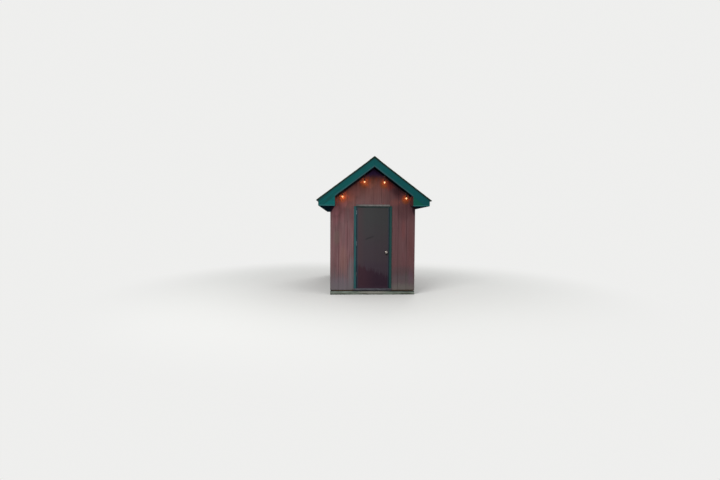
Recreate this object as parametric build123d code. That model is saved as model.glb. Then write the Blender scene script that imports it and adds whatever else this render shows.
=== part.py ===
from build123d import *
from math import atan2, ceil, degrees, hypot, radians, tan
import os

# A small gabled wooden cabin on ground timbers, with an outswing door.
# Millimetres, +Z up, front facing -Y, origin on the ground under the middle of the roof.

os.makedirs("parts", exist_ok=True)

# Overall sizes
wall_width = 2134.0          # over the siding, 7 ft
wall_length = 3658.0         # over the siding, 12 ft
pitch_rise = 9.0             # roof pitch, rise ...
pitch_run = 12.0             # ... over run
side_overhang = 254.0        # siding face to back of eave fascia
end_overhang = 387.0         # siding face to back of rake board

# Base and floor
timber_size = 89.0
joist_thickness = 38.0
joist_spacing = 610.0
floor_thickness = 18.0

# Framing
stud_thickness = 38.0
stud_depth = 89.0
stud_spacing = 610.0
gable_stud_places = (305.0, 610.0)
plate_thickness = 38.0
top_plate_layers = 2
header_depth = 140.0
header_gap = 6.0             # header to the wall plates above it
rafter_thickness = 38.0
rafter_depth = 140.0
heel_height = 120.0          # rafter left above the plate, measured plumb
ridge_board_thickness = 38.0
ridge_board_depth = 184.0

# Siding
siding_thickness = 16.0
siding_drop = 26.0           # slot between the ground timbers and the siding
groove_width = 10.0
groove_depth = 6.0
strips_across = 10

# Roof cover
deck_thickness = 12.0
shingle_thickness = 9.0
shingle_step = 3.0
shingle_exposure = 145.0
shingle_eave_reach = 46.0    # past the eave fascia
shingle_rake_reach = 14.0    # past the rake board
ridge_gap = 2.0
cap_width = 150.0
cap_thickness = 6.0
drip_metal = 1.5
drip_face = 20.0
drip_flange = 60.0

# Roof trim
trim_thickness = 19.0
rake_board_depth = 184.0
eave_fascia_depth = 140.0
soffit_thickness = 10.0
soffit_lip = 8.0             # fascia below the eave soffit
return_inset = 124.0         # return past the wall corner
cheek_thickness = 12.0

# Door and doorway
door_width = 813.0
door_height = 2032.0
door_thickness = 44.0
door_gap = 5.5               # all round the slab
door_bevel_angle = 3.0
jamb_thickness = 32.0
stop_width = 13.0
casing_reveal = 8.0
casing_width = 57.0
casing_thickness = 19.0
threshold_rise = 53.0        # floor to threshold top
threshold_nose = 34.0        # past the siding face
threshold_nose_height = 46.0
cap_height = 45.0
cap_projection = 40.0
cap_reach = 23.5             # drip cap past each edge of the slab
cap_overlap = 4.0            # drip cap down over the head jamb
cap_wash = 10.0
cap_nib = 5.0

# Hinges, latch and knob
hinge_height = 102.0
hinge_drops = (120.0, 901.0, 1682.0)   # slab top to hinge middle
knuckle_radius = 6.0
knuckle_count = 3
knuckle_gap = 0.4
pin_radius = 3.0
pin_clearance = 0.05
pin_head_radius = 4.5
pin_head_height = 2.5
pin_offset = 8.0             # pin axis in front of the slab face
leaf_thickness = 2.5
leaf_width = 32.0
latch_plate_size = (25.0, 57.0, 2.0)
strike_plate_size = (28.0, 70.0, 2.0)
bolt_pocket_size = (14.0, 26.0, 12.0)
knob_height = 910.0          # slab bottom to knob axis
backset = 60.0
knob_radius = 27.0
knob_reach = 62.0            # slab face to knob front
knob_neck = 8.0              # shank seen between rose and grip
knob_band = 18.0             # straight band round the grip
nose_radius = 19.0
rose_radius = 33.0
rose_thickness = 9.0
shank_radius = 9.0
shank_clearance = 0.5

# Lamps
outer_lamps = ((-1, 179.0, 142.0), (1, 121.0, 132.0))   # side, in from the return, drop
inner_lamps = ((-1, 221.0, 185.0), (1, 275.0, 153.0))   # side, out from the middle, drop
lamp_from_wall = 110.0
pad_side = 50.0
pad_thickness = 12.0
hanger_width = 10.0
hanger_thickness = 3.0
socket_radius = 14.0
socket_length = 60.0
bulb_radius = 20.0
bulb_seat = 16.0             # middle of the globe up to the socket


# Places worked out from the sizes
slope = pitch_rise / pitch_run
roof_angle = degrees(atan2(pitch_rise, pitch_run))
plumb = hypot(pitch_rise, pitch_run) / pitch_run   # plumb depth of a thickness across the slope
half_width = wall_width / 2
half_length = wall_length / 2
frame_half_width = half_width - siding_thickness
frame_half_length = half_length - siding_thickness
inner_half_width = frame_half_width - stud_depth
inner_half_length = frame_half_length - stud_depth
floor_top = timber_size + floor_thickness
siding_bottom = timber_size + siding_drop

threshold_top = floor_top + threshold_rise
slab_bottom = threshold_top + door_gap
slab_top = slab_bottom + door_height
head_underside = slab_top + door_gap
rough_top = head_underside + jamb_thickness

top_plate_depth = plate_thickness * top_plate_layers
plate_top = rough_top + header_depth + header_gap + top_plate_depth
deck_apex = plate_top + heel_height + deck_thickness * plumb + frame_half_width * slope
fascia_back = half_width + side_overhang
fascia_front = fascia_back + trim_thickness
rake_back = half_length + end_overhang
rake_front = rake_back + trim_thickness
return_edge = half_width - return_inset
groove_pitch = wall_width / strips_across


def slope_height(x, depth=0.0):
    """Height at x of the plane that lies this far under the top of the roof deck."""
    return deck_apex - abs(x) * slope - depth * plumb


fascia_bottom = slope_height(fascia_front, deck_thickness) - eave_fascia_depth
soffit_bottom = fascia_bottom + soffit_lip
soffit_top = soffit_bottom + soffit_thickness
rake_soffit_top = deck_thickness + rafter_depth
rake_soffit_bottom = rake_soffit_top + soffit_thickness

slab_face = -half_length
slab_back = slab_face + door_thickness
slab_edge = door_width / 2
jamb_face = slab_edge + door_gap
rough_edge = jamb_face + jamb_thickness
stop_face = slab_back + door_gap
stop_edge = jamb_face - stop_width
casing_inner = jamb_face + casing_reveal
casing_outer = casing_inner + casing_width
cap_bottom = rough_top - cap_overlap
cap_end = slab_edge + cap_reach
pin_x = -slab_edge - door_gap / 2
pin_y = slab_face - pin_offset
knob_x = slab_edge - backset
knob_z = slab_bottom + knob_height


def block(x_range, y_range, z_range):
    """A box between two corners."""
    size = [high - low for low, high in (x_range, y_range, z_range)]
    middle = [(high + low) / 2 for low, high in (x_range, y_range, z_range)]
    return Pos(*middle) * Box(*size)


def prism(points, y_range):
    """An outline in the front view, pushed along Y."""
    low, high = y_range
    outline = make_face(Polyline([(x, low, z) for x, z in points], close=True))
    return extrude(outline, amount=high - low, dir=(0, 1, 0))


def group(*shapes):
    """Like pieces of one node, each its own solid."""
    return Compound([solid for shape in shapes for solid in shape.solids()])


def both_sides(shape):
    """A right-hand piece and its mirror image on the left."""
    return group(shape, mirror(shape, Plane.YZ))


def both_ends(shape):
    """A front piece and its mirror image at the rear."""
    return group(shape, mirror(shape, Plane.XZ))


def spread(first, last, spacing):
    """Even places from first to last, no further apart than the spacing."""
    bays = max(1, ceil((last - first) / spacing))
    return [first + (last - first) * index / bays for index in range(bays + 1)]


# Base and floor

def end_timbers():
    front = block((-half_width, half_width), (-half_length, timber_size - half_length), (0, timber_size))
    return both_ends(front)


def side_timbers():
    reach = half_length - timber_size
    return both_sides(block((half_width - timber_size, half_width), (-reach, reach), (0, timber_size)))


def floor_joists():
    reach = half_width - timber_size
    edge = half_length - timber_size
    places = spread(-edge, edge, joist_spacing)[1:-1]
    width = joist_thickness / 2
    return group(*[block((-reach, reach), (y - width, y + width), (0, timber_size)) for y in places])


def floor_deck():
    return block((-frame_half_width, frame_half_width), (-frame_half_length, frame_half_length),
                 (timber_size, floor_top))


# Wall framing

def side_plates():
    across = (inner_half_width, frame_half_width)
    along = (-frame_half_length, frame_half_length)
    sole = block(across, along, (floor_top, floor_top + plate_thickness))
    top = block(across, along, (plate_top - top_plate_depth, plate_top))
    return group(both_sides(sole), both_sides(top))


def end_plates():
    front = (-frame_half_length, -inner_half_length)
    rear = (inner_half_length, frame_half_length)
    full = (-inner_half_width, inner_half_width)
    sole = (floor_top, floor_top + plate_thickness)
    top = (plate_top - top_plate_depth, plate_top)
    return group(both_sides(block((rough_edge, inner_half_width), front, sole)),
                 block(full, rear, sole), both_ends(block(full, front, top)))


def side_studs():
    reach = frame_half_length - stud_thickness / 2
    across = (inner_half_width, frame_half_width)
    upright = (floor_top + plate_thickness, plate_top - top_plate_depth)
    half = stud_thickness / 2
    studs = [block(across, (y - half, y + half), upright) for y in spread(-reach, reach, stud_spacing)]
    return both_sides(group(*studs))


def end_studs():
    half = stud_thickness / 2
    front = (-frame_half_length, -inner_half_length)
    rear = (inner_half_length, frame_half_length)
    upright = (floor_top + plate_thickness, plate_top - top_plate_depth)
    corner = inner_half_width - half
    king = rough_edge + stud_thickness + half
    front_studs = [block((x - half, x + half), front, upright) for x in (-corner, -king, king, corner)]
    rear_studs = [block((x - half, x + half), rear, upright) for x in spread(-corner, corner, stud_spacing)]
    gable = []
    for x in gable_stud_places:
        near, far = x - half, x + half
        under_rafter = deck_thickness + rafter_depth
        outline = [(near, plate_top), (far, plate_top),
                   (far, slope_height(far, under_rafter)), (near, slope_height(near, under_rafter))]
        gable.append(both_ends(both_sides(prism(outline, front))))
    return group(*front_studs, *rear_studs, *gable)


def door_jack_studs():
    return both_sides(block((rough_edge, rough_edge + stud_thickness),
                            (-frame_half_length, -inner_half_length),
                            (floor_top + plate_thickness, rough_top)))


def door_header():
    reach = rough_edge + stud_thickness
    return block((-reach, reach), (-frame_half_length, -inner_half_length),
                 (rough_top, rough_top + header_depth))


# Roof framing

def ridge_board():
    top = slope_height(ridge_board_thickness / 2, deck_thickness)
    half = ridge_board_thickness / 2
    return block((-half, half), (-frame_half_length, frame_half_length), (top - ridge_board_depth, top))


def rafter(y):
    """A right-hand rafter: plumb at the ridge, notched over the plate, plumb and level at the tail."""
    under = deck_thickness + rafter_depth
    ridge = ridge_board_thickness / 2
    seat = (deck_apex - under * plumb - plate_top) / slope
    tail = (deck_apex - under * plumb - soffit_top) / slope
    outline = [
        (ridge, slope_height(ridge, under)),
        (seat, plate_top),
        (frame_half_width, plate_top),
        (frame_half_width, slope_height(frame_half_width, under)),
        (tail, soffit_top),
        (fascia_back, soffit_top),
        (fascia_back, slope_height(fascia_back, deck_thickness)),
        (ridge, slope_height(ridge, deck_thickness)),
    ]
    return prism(outline, (y - rafter_thickness / 2, y + rafter_thickness / 2))


def rafters():
    reach = frame_half_length - rafter_thickness / 2
    return both_sides(group(*[rafter(y) for y in spread(-reach, reach, stud_spacing)]))


# Roof cover

def roof_deck():
    outline = [(ridge_gap / 2, slope_height(ridge_gap / 2, deck_thickness)),
               (fascia_front, slope_height(fascia_front, deck_thickness)),
               (fascia_front, slope_height(fascia_front)),
               (ridge_gap / 2, slope_height(ridge_gap / 2))]
    return both_sides(prism(outline, (-rake_back, rake_back)))


def shingles():
    """Each slope is one slab whose top steps down at every course."""
    eave = fascia_front + shingle_eave_reach
    run = shingle_exposure / plumb
    under = -drip_metal
    outline = [(ridge_gap / 2, slope_height(ridge_gap / 2, under)), (eave, slope_height(eave, under))]
    x = eave
    while x > ridge_gap / 2:
        upper = max(x - run, ridge_gap / 2)
        thinned = (x - upper) / run * shingle_step
        outline.append((x, slope_height(x, under - shingle_thickness)))
        outline.append((upper, slope_height(upper, under - shingle_thickness + thinned)))
        x = upper
    reach = rake_front + shingle_rake_reach
    return both_sides(prism(outline, (-reach, reach)))


def ridge_cap():
    under = -(drip_metal + shingle_thickness)
    edge = cap_width / plumb
    outline = [(-edge, slope_height(edge, under)),
               (0, slope_height(0, under)),
               (edge, slope_height(edge, under)),
               (edge, slope_height(edge, under - cap_thickness)),
               (0, slope_height(0, under - cap_thickness)),
               (-edge, slope_height(edge, under - cap_thickness))]
    reach = rake_front + shingle_rake_reach
    return prism(outline, (-reach, reach))


def rake_drip_edges():
    """Bent metal over the top edge of each rake board, under the shingles."""
    near = ridge_gap / 2
    far = fascia_front
    top = [(near, slope_height(near)), (far, slope_height(far)),
           (far, slope_height(far, -drip_metal)), (near, slope_height(near, -drip_metal))]
    face = [(near, slope_height(near, drip_face)), (far, slope_height(far, drip_face)),
            (far, slope_height(far, -drip_metal)), (near, slope_height(near, -drip_metal))]
    flange = prism(top, (-rake_front, drip_flange - rake_front))
    skirt = prism(face, (-rake_front - drip_metal, -rake_front))
    return both_ends(both_sides(flange + skirt))


def eave_drip_edges():
    """Bent metal along each eave: it lies on the deck and turns down in front of the fascia."""
    inner = fascia_front - drip_flange
    outer = fascia_front + drip_metal
    top = [(inner, slope_height(inner)), (fascia_front, slope_height(fascia_front)),
           (fascia_front, slope_height(fascia_front, -drip_metal)), (inner, slope_height(inner, -drip_metal))]
    face = [(fascia_front, slope_height(fascia_front, deck_thickness) - drip_face),
            (outer, slope_height(fascia_front, deck_thickness) - drip_face),
            (outer, slope_height(outer, -drip_metal)), (fascia_front, slope_height(fascia_front, -drip_metal))]
    flange = prism(top, (drip_flange - rake_front, rake_front - drip_flange))
    skirt = prism(face, (-rake_front, rake_front))
    return both_sides(flange + skirt)


# Roof trim

def rake_board():
    """The front right rake board, cut level at the foot to stand flush with the return."""
    foot = (deck_apex - rake_board_depth * plumb - fascia_bottom) / slope
    outline = [(0, slope_height(0, rake_board_depth)), (foot, fascia_bottom),
               (fascia_front, fascia_bottom), (fascia_front, slope_height(fascia_front)),
               (0, slope_height(0))]
    return prism(outline, (-rake_front, -rake_back))


def right_rake_boards():
    return both_ends(rake_board())


def left_rake_boards():
    return both_ends(mirror(rake_board(), Plane.YZ))


def eave_fascias():
    outline = [(fascia_back, fascia_bottom), (fascia_front, fascia_bottom),
               (fascia_front, slope_height(fascia_front, deck_thickness)),
               (fascia_back, slope_height(fascia_back, deck_thickness))]
    return both_sides(prism(outline, (-rake_back, rake_back)))


def eave_returns():
    foot = (deck_apex - rake_board_depth * plumb - fascia_bottom) / slope
    outline = [(return_edge, fascia_bottom), (foot, fascia_bottom),
               (return_edge, slope_height(return_edge, rake_board_depth))]
    return both_ends(both_sides(prism(outline, (-rake_front, -rake_back))))


def return_boxes():
    """The cheek and the bottom that close each eave return back to the wall."""
    cheek = return_edge + cheek_thickness
    outline = [(return_edge, soffit_bottom), (half_width, soffit_bottom), (half_width, soffit_top),
               (cheek, soffit_top), (cheek, slope_height(cheek, rake_soffit_bottom)),
               (return_edge, slope_height(return_edge, rake_soffit_bottom))]
    return both_ends(both_sides(prism(outline, (-rake_back, -half_length))))


def eave_soffits():
    return both_sides(block((half_width, fascia_back), (-rake_back, rake_back), (soffit_bottom, soffit_top)))


def rake_soffits():
    near = ridge_gap / 2
    far = return_edge + cheek_thickness
    outline = [(near, slope_height(near, rake_soffit_bottom)), (far, slope_height(far, rake_soffit_bottom)),
               (far, slope_height(far, rake_soffit_top)), (near, slope_height(near, rake_soffit_top))]
    return both_ends(both_sides(prism(outline, (-rake_back, -half_length))))


# Siding

def grooves(face_range, span, pitch, along_y):
    """Cutters for the grooves that fall inside the span, spaced evenly each side of the middle."""
    low, high = span
    count = ceil(max(abs(low), abs(high)) / pitch)
    cutters = []
    for index in range(-count, count + 1):
        place = index * pitch
        if low + groove_width < place < high - groove_width:
            strip = (place - groove_width / 2, place + groove_width / 2)
            upright = (0, deck_apex)
            box = block(face_range, strip, upright) if along_y else block(strip, face_range, upright)
            cutters.append(box)
    return cutters


def end_panel(outline, span):
    """Grooved siding on the front wall, cut to an outline in the front view."""
    panel = prism(outline, (-half_length, -frame_half_length))
    face_range = (-half_length - groove_depth, groove_depth - half_length)
    for cutter in grooves(face_range, span, groove_pitch, along_y=False):
        panel -= cutter
    return panel


def front_side_outline(inner):
    return [(inner, siding_bottom), (half_width, siding_bottom),
            (half_width, slope_height(half_width, deck_thickness)),
            (inner, slope_height(inner, deck_thickness))]


def front_siding_right():
    return end_panel(front_side_outline(rough_edge), (rough_edge, half_width))


def front_siding_left():
    outline = [(-x, z) for x, z in front_side_outline(rough_edge)]
    return end_panel(outline, (-half_width, -rough_edge))


def front_siding_gable():
    edge = slope_height(rough_edge, deck_thickness)
    outline = [(-rough_edge, rough_top), (rough_edge, rough_top), (rough_edge, edge),
               (0, slope_height(0, deck_thickness)), (-rough_edge, edge)]
    return end_panel(outline, (-rough_edge, rough_edge))


def rear_siding():
    edge = slope_height(half_width, deck_thickness)
    outline = [(-half_width, siding_bottom), (half_width, siding_bottom), (half_width, edge),
               (0, slope_height(0, deck_thickness)), (-half_width, edge)]
    return mirror(end_panel(outline, (-half_width, half_width)), Plane.XZ)


def right_siding():
    top = slope_height(half_width, deck_thickness + rafter_depth)
    panel = block((frame_half_width, half_width), (-frame_half_length, frame_half_length),
                  (siding_bottom, top))
    face_range = (half_width - groove_depth, half_width + groove_depth)
    for cutter in grooves(face_range, (-frame_half_length, frame_half_length), groove_pitch, along_y=True):
        panel -= cutter
    return panel


def left_siding():
    return mirror(right_siding(), Plane.YZ)


# Doorway

def door_side_jambs():
    """Each jamb has its stop worked on it, and the left one is let in for the hinge leaves."""
    inside = -inner_half_length
    upright = (threshold_top, rough_top)
    jamb = block((jamb_face, rough_edge), (-half_length, inside), upright)
    jamb += block((stop_edge, jamb_face), (stop_face, inside), (threshold_top, head_underside))
    left = mirror(jamb, Plane.YZ)
    for z in hinge_middles():
        left -= leaf_plate(-jamb_face - leaf_thickness, z)
    return group(left, jamb - strike_body())


def door_head_jamb():
    inside = -inner_half_length
    board = block((-jamb_face, jamb_face), (-half_length, inside), (head_underside, rough_top))
    stop = block((-stop_edge, stop_edge), (stop_face, inside), (head_underside - stop_width, head_underside))
    return board + stop


def door_threshold():
    """A sill between the jack studs with a nose that runs on under the casings."""
    sill = block((-rough_edge, rough_edge), (-half_length, -inner_half_length), (floor_top, threshold_top))
    nose_bottom = threshold_top - threshold_nose_height
    nose = block((-casing_outer, casing_outer), (-half_length - threshold_nose, -half_length),
                 (nose_bottom, threshold_top))
    return sill + nose


def door_casings():
    return both_sides(block((casing_inner, casing_outer), (-half_length - casing_thickness, -half_length),
                            (threshold_top, cap_bottom)))


def door_drip_cap():
    """A head moulding with a sloped top and a nib along its lower front edge."""
    back = -half_length
    front = back - cap_projection
    top = cap_bottom + cap_height
    wash = top - cap_projection * tan(radians(cap_wash))
    points = [(back, cap_bottom + cap_nib), (front + cap_nib, cap_bottom + cap_nib),
              (front + cap_nib, cap_bottom), (front, cap_bottom), (front, wash), (back, top)]
    outline = make_face(Polyline([(-cap_end, y, z) for y, z in points], close=True))
    return extrude(outline, amount=2 * cap_end, dir=(1, 0, 0))


# Hinges: the frame leaf carries the pin and the odd knuckles, the door leaf the even ones

def hinge_middles():
    return [slab_top - drop for drop in hinge_drops]


def leaf_plate(x, z):
    return block((x, x + leaf_thickness), (slab_face, slab_face + leaf_width),
                 (z - hinge_height / 2, z + hinge_height / 2))


def knuckle_spans(z, first):
    """Every second knuckle's height range, from the first one named."""
    length = hinge_height / knuckle_count
    bottom = z - hinge_height / 2
    return [(bottom + index * length + knuckle_gap / 2, bottom + (index + 1) * length - knuckle_gap / 2)
            for index in range(first, knuckle_count, 2)]


def upright_cylinder(radius, z_range):
    low, high = z_range
    return Pos(pin_x, pin_y, (low + high) / 2) * Cylinder(radius, high - low)


def hinge_leaf(x, z, first):
    leaf = leaf_plate(x, z)
    for span in knuckle_spans(z, first):
        leaf += upright_cylinder(knuckle_radius, span)
        leaf += block((x, x + leaf_thickness), (pin_y, slab_face), span)
    return leaf


def hinge_frame_leaves():
    leaves = []
    for z in hinge_middles():
        leaf = hinge_leaf(-jamb_face - leaf_thickness, z, 0)
        low, high = z - hinge_height / 2, z + hinge_height / 2
        leaf += upright_cylinder(pin_radius, (low, high))
        leaf += upright_cylinder(pin_head_radius, (high - knuckle_gap, high + pin_head_height))
        leaves.append(leaf)
    return group(*leaves)


def hinge_door_leaves():
    leaves = []
    for z in hinge_middles():
        leaf = hinge_leaf(-slab_edge, z, 1)
        leaf -= upright_cylinder(pin_radius + pin_clearance, (z - hinge_height, z + hinge_height))
        leaves.append(leaf)
    return group(*leaves)


# Door

def door_slab():
    """A flush slab whose latch edge is bevelled, so that it clears the jamb as it swings."""
    narrow = slab_edge - door_thickness * tan(radians(door_bevel_angle))
    points = [(-slab_edge, slab_face), (slab_edge, slab_face), (narrow, slab_back), (-slab_edge, slab_back)]
    outline = make_face(Polyline([(x, y, slab_bottom) for x, y in points], close=True))
    slab = extrude(outline, amount=door_height, dir=(0, 0, 1))
    for z in hinge_middles():
        slab -= leaf_plate(-slab_edge, z)
    slab -= knob_cylinder(shank_radius + shank_clearance, slab_face - door_gap, slab_back + door_gap)
    return slab - latch_plate()


def latch_plate():
    """The plate round the drawn-back latch, let in flush with the bevelled edge."""
    across, tall, thick = latch_plate_size
    middle = (slab_face + slab_back) / 2
    half_bevel = door_thickness / 2 * tan(radians(door_bevel_angle))
    plate = Box(thick, across, tall)
    turn = Rot(0, 0, door_bevel_angle)
    return Pos(slab_edge - half_bevel, middle, knob_z) * turn * Pos(-thick / 2, 0, 0) * plate


def strike_body():
    """The room that the strike and the pocket behind it take out of the right jamb."""
    across, tall, thick = strike_plate_size
    deep, high, wide = bolt_pocket_size
    middle = (slab_face + slab_back) / 2
    recess = block((jamb_face, jamb_face + thick), (middle - across / 2, middle + across / 2),
                   (knob_z - tall / 2, knob_z + tall / 2))
    pocket = block((jamb_face, jamb_face + deep), (middle - wide / 2, middle + wide / 2),
                   (knob_z - high / 2, knob_z + high / 2))
    return recess + pocket


def strike_plate():
    across, tall, thick = strike_plate_size
    deep, high, wide = bolt_pocket_size
    middle = (slab_face + slab_back) / 2
    plate = block((jamb_face, jamb_face + thick), (middle - across / 2, middle + across / 2),
                  (knob_z - tall / 2, knob_z + tall / 2))
    return plate - block((jamb_face, jamb_face + deep), (middle - wide / 2, middle + wide / 2),
                         (knob_z - high / 2, knob_z + high / 2))


def knob_cylinder(radius, y_from, y_to):
    return Pos(knob_x, (y_from + y_to) / 2, knob_z) * Rot(90, 0, 0) * Cylinder(radius, y_to - y_from)


def knob_roses():
    outer = knob_cylinder(rose_radius, slab_face - rose_thickness, slab_face)
    inner = knob_cylinder(rose_radius, slab_back, slab_back + rose_thickness)
    hole = knob_cylinder(shank_radius + shank_clearance, slab_face - knob_reach, slab_back + knob_reach)
    return group(outer - hole, inner - hole)


def door_knobs():
    """Both knobs on one spindle, turned from one outline: shank, flare, straight band and nose."""
    front = door_thickness / 2 + knob_reach
    neck = door_thickness / 2 + rose_thickness + knob_neck
    band = (front + neck - knob_band) / 2
    outline = Polyline([(0, 0), (shank_radius, 0), (shank_radius, neck), (knob_radius, band),
                        (knob_radius, band + knob_band), (nose_radius, front), (0, front)], close=True)
    turned = revolve(make_face(outline), Axis.Y)
    pair = turned + mirror(turned, Plane.XZ)
    return Pos(knob_x, (slab_face + slab_back) / 2, knob_z) * pair


# Lamps under the rakes

def lamp_spots():
    """Where each lamp hangs, and the height of the seat between its socket and its bulb."""
    y = -half_length - lamp_from_wall
    places = [(side * (return_edge - inset), drop) for side, inset, drop in outer_lamps]
    places += [(side * out, drop) for side, out, drop in inner_lamps]
    return [(x, y, slope_height(x, rake_soffit_bottom) - drop + bulb_seat) for x, drop in places]


def lamp_holders():
    """A square pad on the sloping soffit, a flat hanger and a round socket that hangs plumb."""
    holders = []
    for x, y, seat_z in lamp_spots():
        ceiling = slope_height(x, rake_soffit_bottom)
        lean = roof_angle if x > 0 else -roof_angle
        on_soffit = Pos(x, y, ceiling) * Rot(0, lean, 0) * Pos(0, 0, -pad_thickness / 2)
        pad = on_soffit * Box(pad_side, pad_side, pad_thickness)
        socket_top = seat_z + socket_length
        hanger = block((x - hanger_width / 2, x + hanger_width / 2),
                       (y - hanger_thickness / 2, y + hanger_thickness / 2),
                       (socket_top, ceiling - pad_thickness / 2))
        socket = Pos(x, y, seat_z + socket_length / 2) * Cylinder(socket_radius, socket_length)
        holders.append(pad + hanger + socket)
    return group(*holders)


def lamp_bulbs():
    """Round globes, cut flat where they seat in their sockets."""
    globe = Sphere(bulb_radius) & Pos(0, 0, bulb_seat - bulb_radius) * Box(*[2 * bulb_radius] * 3)
    return group(*[Pos(x, y, seat_z - bulb_seat) * globe for x, y, seat_z in lamp_spots()])


NODES = [
    end_timbers, side_timbers, floor_joists, floor_deck,
    side_plates, end_plates, side_studs, end_studs, door_jack_studs, door_header,
    ridge_board, rafters, roof_deck, shingles, ridge_cap, rake_drip_edges, eave_drip_edges,
    left_rake_boards, right_rake_boards, eave_fascias, eave_returns, return_boxes,
    eave_soffits, rake_soffits,
    front_siding_left, front_siding_right, front_siding_gable, rear_siding, left_siding, right_siding,
    door_side_jambs, door_head_jamb, door_threshold, door_casings, door_drip_cap,
    hinge_frame_leaves, strike_plate,
    door_slab, hinge_door_leaves, latch_plate, knob_roses, door_knobs,
    lamp_holders, lamp_bulbs,
]

for node in NODES:
    export_step(node(), f"parts/{node.__name__}.step")
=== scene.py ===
# %% [markdown]
# # A small wooden cabin, dressed in Blender
#
# The cabin stands on weathered ground timbers. Its walls are sheets of grooved plywood, stained
# red-brown, and its boxed roof has green boards and green shingles. The solids come packed from a
# CAD model, in metres, and they stay where that model puts them. This script gives each solid the
# finish of the real thing, and makes what a solid model leaves out: separate shingles, nails and
# screws, a turned knob and glowing bulbs.

# %% Load the frame
import math
import random

import bmesh
import bpy
from mathutils import Matrix, Vector


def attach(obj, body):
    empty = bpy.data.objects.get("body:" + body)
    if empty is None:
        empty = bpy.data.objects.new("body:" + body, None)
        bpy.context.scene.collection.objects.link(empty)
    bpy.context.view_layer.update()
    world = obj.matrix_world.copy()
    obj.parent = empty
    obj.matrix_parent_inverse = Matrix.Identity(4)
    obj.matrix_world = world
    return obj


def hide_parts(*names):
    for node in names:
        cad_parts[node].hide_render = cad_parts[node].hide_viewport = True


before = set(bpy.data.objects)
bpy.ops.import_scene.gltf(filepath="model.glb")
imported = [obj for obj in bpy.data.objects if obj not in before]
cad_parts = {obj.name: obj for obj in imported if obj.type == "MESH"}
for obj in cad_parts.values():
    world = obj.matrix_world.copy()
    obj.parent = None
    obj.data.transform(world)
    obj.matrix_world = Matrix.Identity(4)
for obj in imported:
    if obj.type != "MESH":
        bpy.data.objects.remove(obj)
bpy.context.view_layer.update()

# %% [markdown]
# ## The camera
#
# A camera can be aimed by hand, or worked out. Here it was worked out: the corners of the roof, the
# walls and the door give one place, one aim and one focal length at which they all land on their
# spots in the picture. The focal length is in pixels of a picture 720 wide, and Blender wants
# millimetres on its sensor, so one is turned into the other.

# %% Camera
CAMERA_PLACE = Vector((-0.6963, -10.7882, 1.7800))
YAW, PITCH, ROLL = (math.radians(angle) for angle in (2.396, 2.528, 0.341))
FOCAL_PIXELS = 356.98
PICTURE_WIDTH = 720
SENSOR_WIDTH = 36.0

camera_data = bpy.data.cameras.new("camera")
camera_data.sensor_width = SENSOR_WIDTH
camera_data.lens = FOCAL_PIXELS / PICTURE_WIDTH * SENSOR_WIDTH
camera = bpy.data.objects.new("camera", camera_data)
camera.matrix_world = (
    Matrix.Translation(CAMERA_PLACE)
    @ Matrix.Rotation(-YAW, 4, "Z")
    @ Matrix.Rotation(math.radians(90) - PITCH, 4, "X")
    @ Matrix.Rotation(ROLL, 4, "Z")
)
bpy.context.scene.collection.objects.link(camera)
bpy.context.scene.camera = camera
print("lens:", round(camera_data.lens, 2), "mm")

# %% [markdown]
# ## Wires with arithmetic
#
# A procedural finish is a sum of small effects: grain plus stains plus wear. In the node editor that
# means dozens of Math nodes. It reads better as Python, so one small class wraps an output socket,
# and each `+`, `-` or `*` on it adds the Math node that does the sum.

# %% A socket that can be reckoned with
class Wire:
    """One output socket. Arithmetic on it adds Math nodes."""

    def __init__(self, finish, socket):
        self.finish, self.socket = finish, socket

    def math(self, operation, *values):
        return self.finish.node("Math", {"operation": operation}, dict(enumerate(values)))

    def __add__(self, other):
        return self.math("ADD", self, other)

    def __sub__(self, other):
        return self.math("SUBTRACT", self, other)

    def __rsub__(self, other):
        return self.math("SUBTRACT", other, self)

    def __mul__(self, other):
        return self.math("MULTIPLY", self, other)

    __radd__, __rmul__ = __add__, __mul__


def paint(red, green, blue):
    """A colour as read off a screen, 0 to 255, turned into the light values that shaders use."""
    channels = [value / 255 for value in (red, green, blue)]
    return (*[c / 12.92 if c <= 0.04045 else ((c + 0.055) / 1.055) ** 2.4 for c in channels], 1.0)


# %% [markdown]
# ## A finish
#
# A finish is a material with one Principled shader. Patterns on wood and paint have real sizes, such
# as a brush mark 1 mm wide and 150 mm long. A Mapping node of the texture kind divides by its scale,
# so a pattern can be asked for in metres, and turned to run along its board.

# %% The class that all finishes use
UP = (0.0, 0.0, 0.0)
LENGTHWISE = (math.radians(90), 0.0, 0.0)
CROSSWISE = (0.0, math.radians(90), 0.0)
ROOF_SLOPE = math.atan2(9, 12)
DOWN_RIGHT = (0.0, ROOF_SLOPE - math.radians(90), 0.0)
DOWN_LEFT = (0.0, math.radians(90) - ROOF_SLOPE, 0.0)


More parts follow.
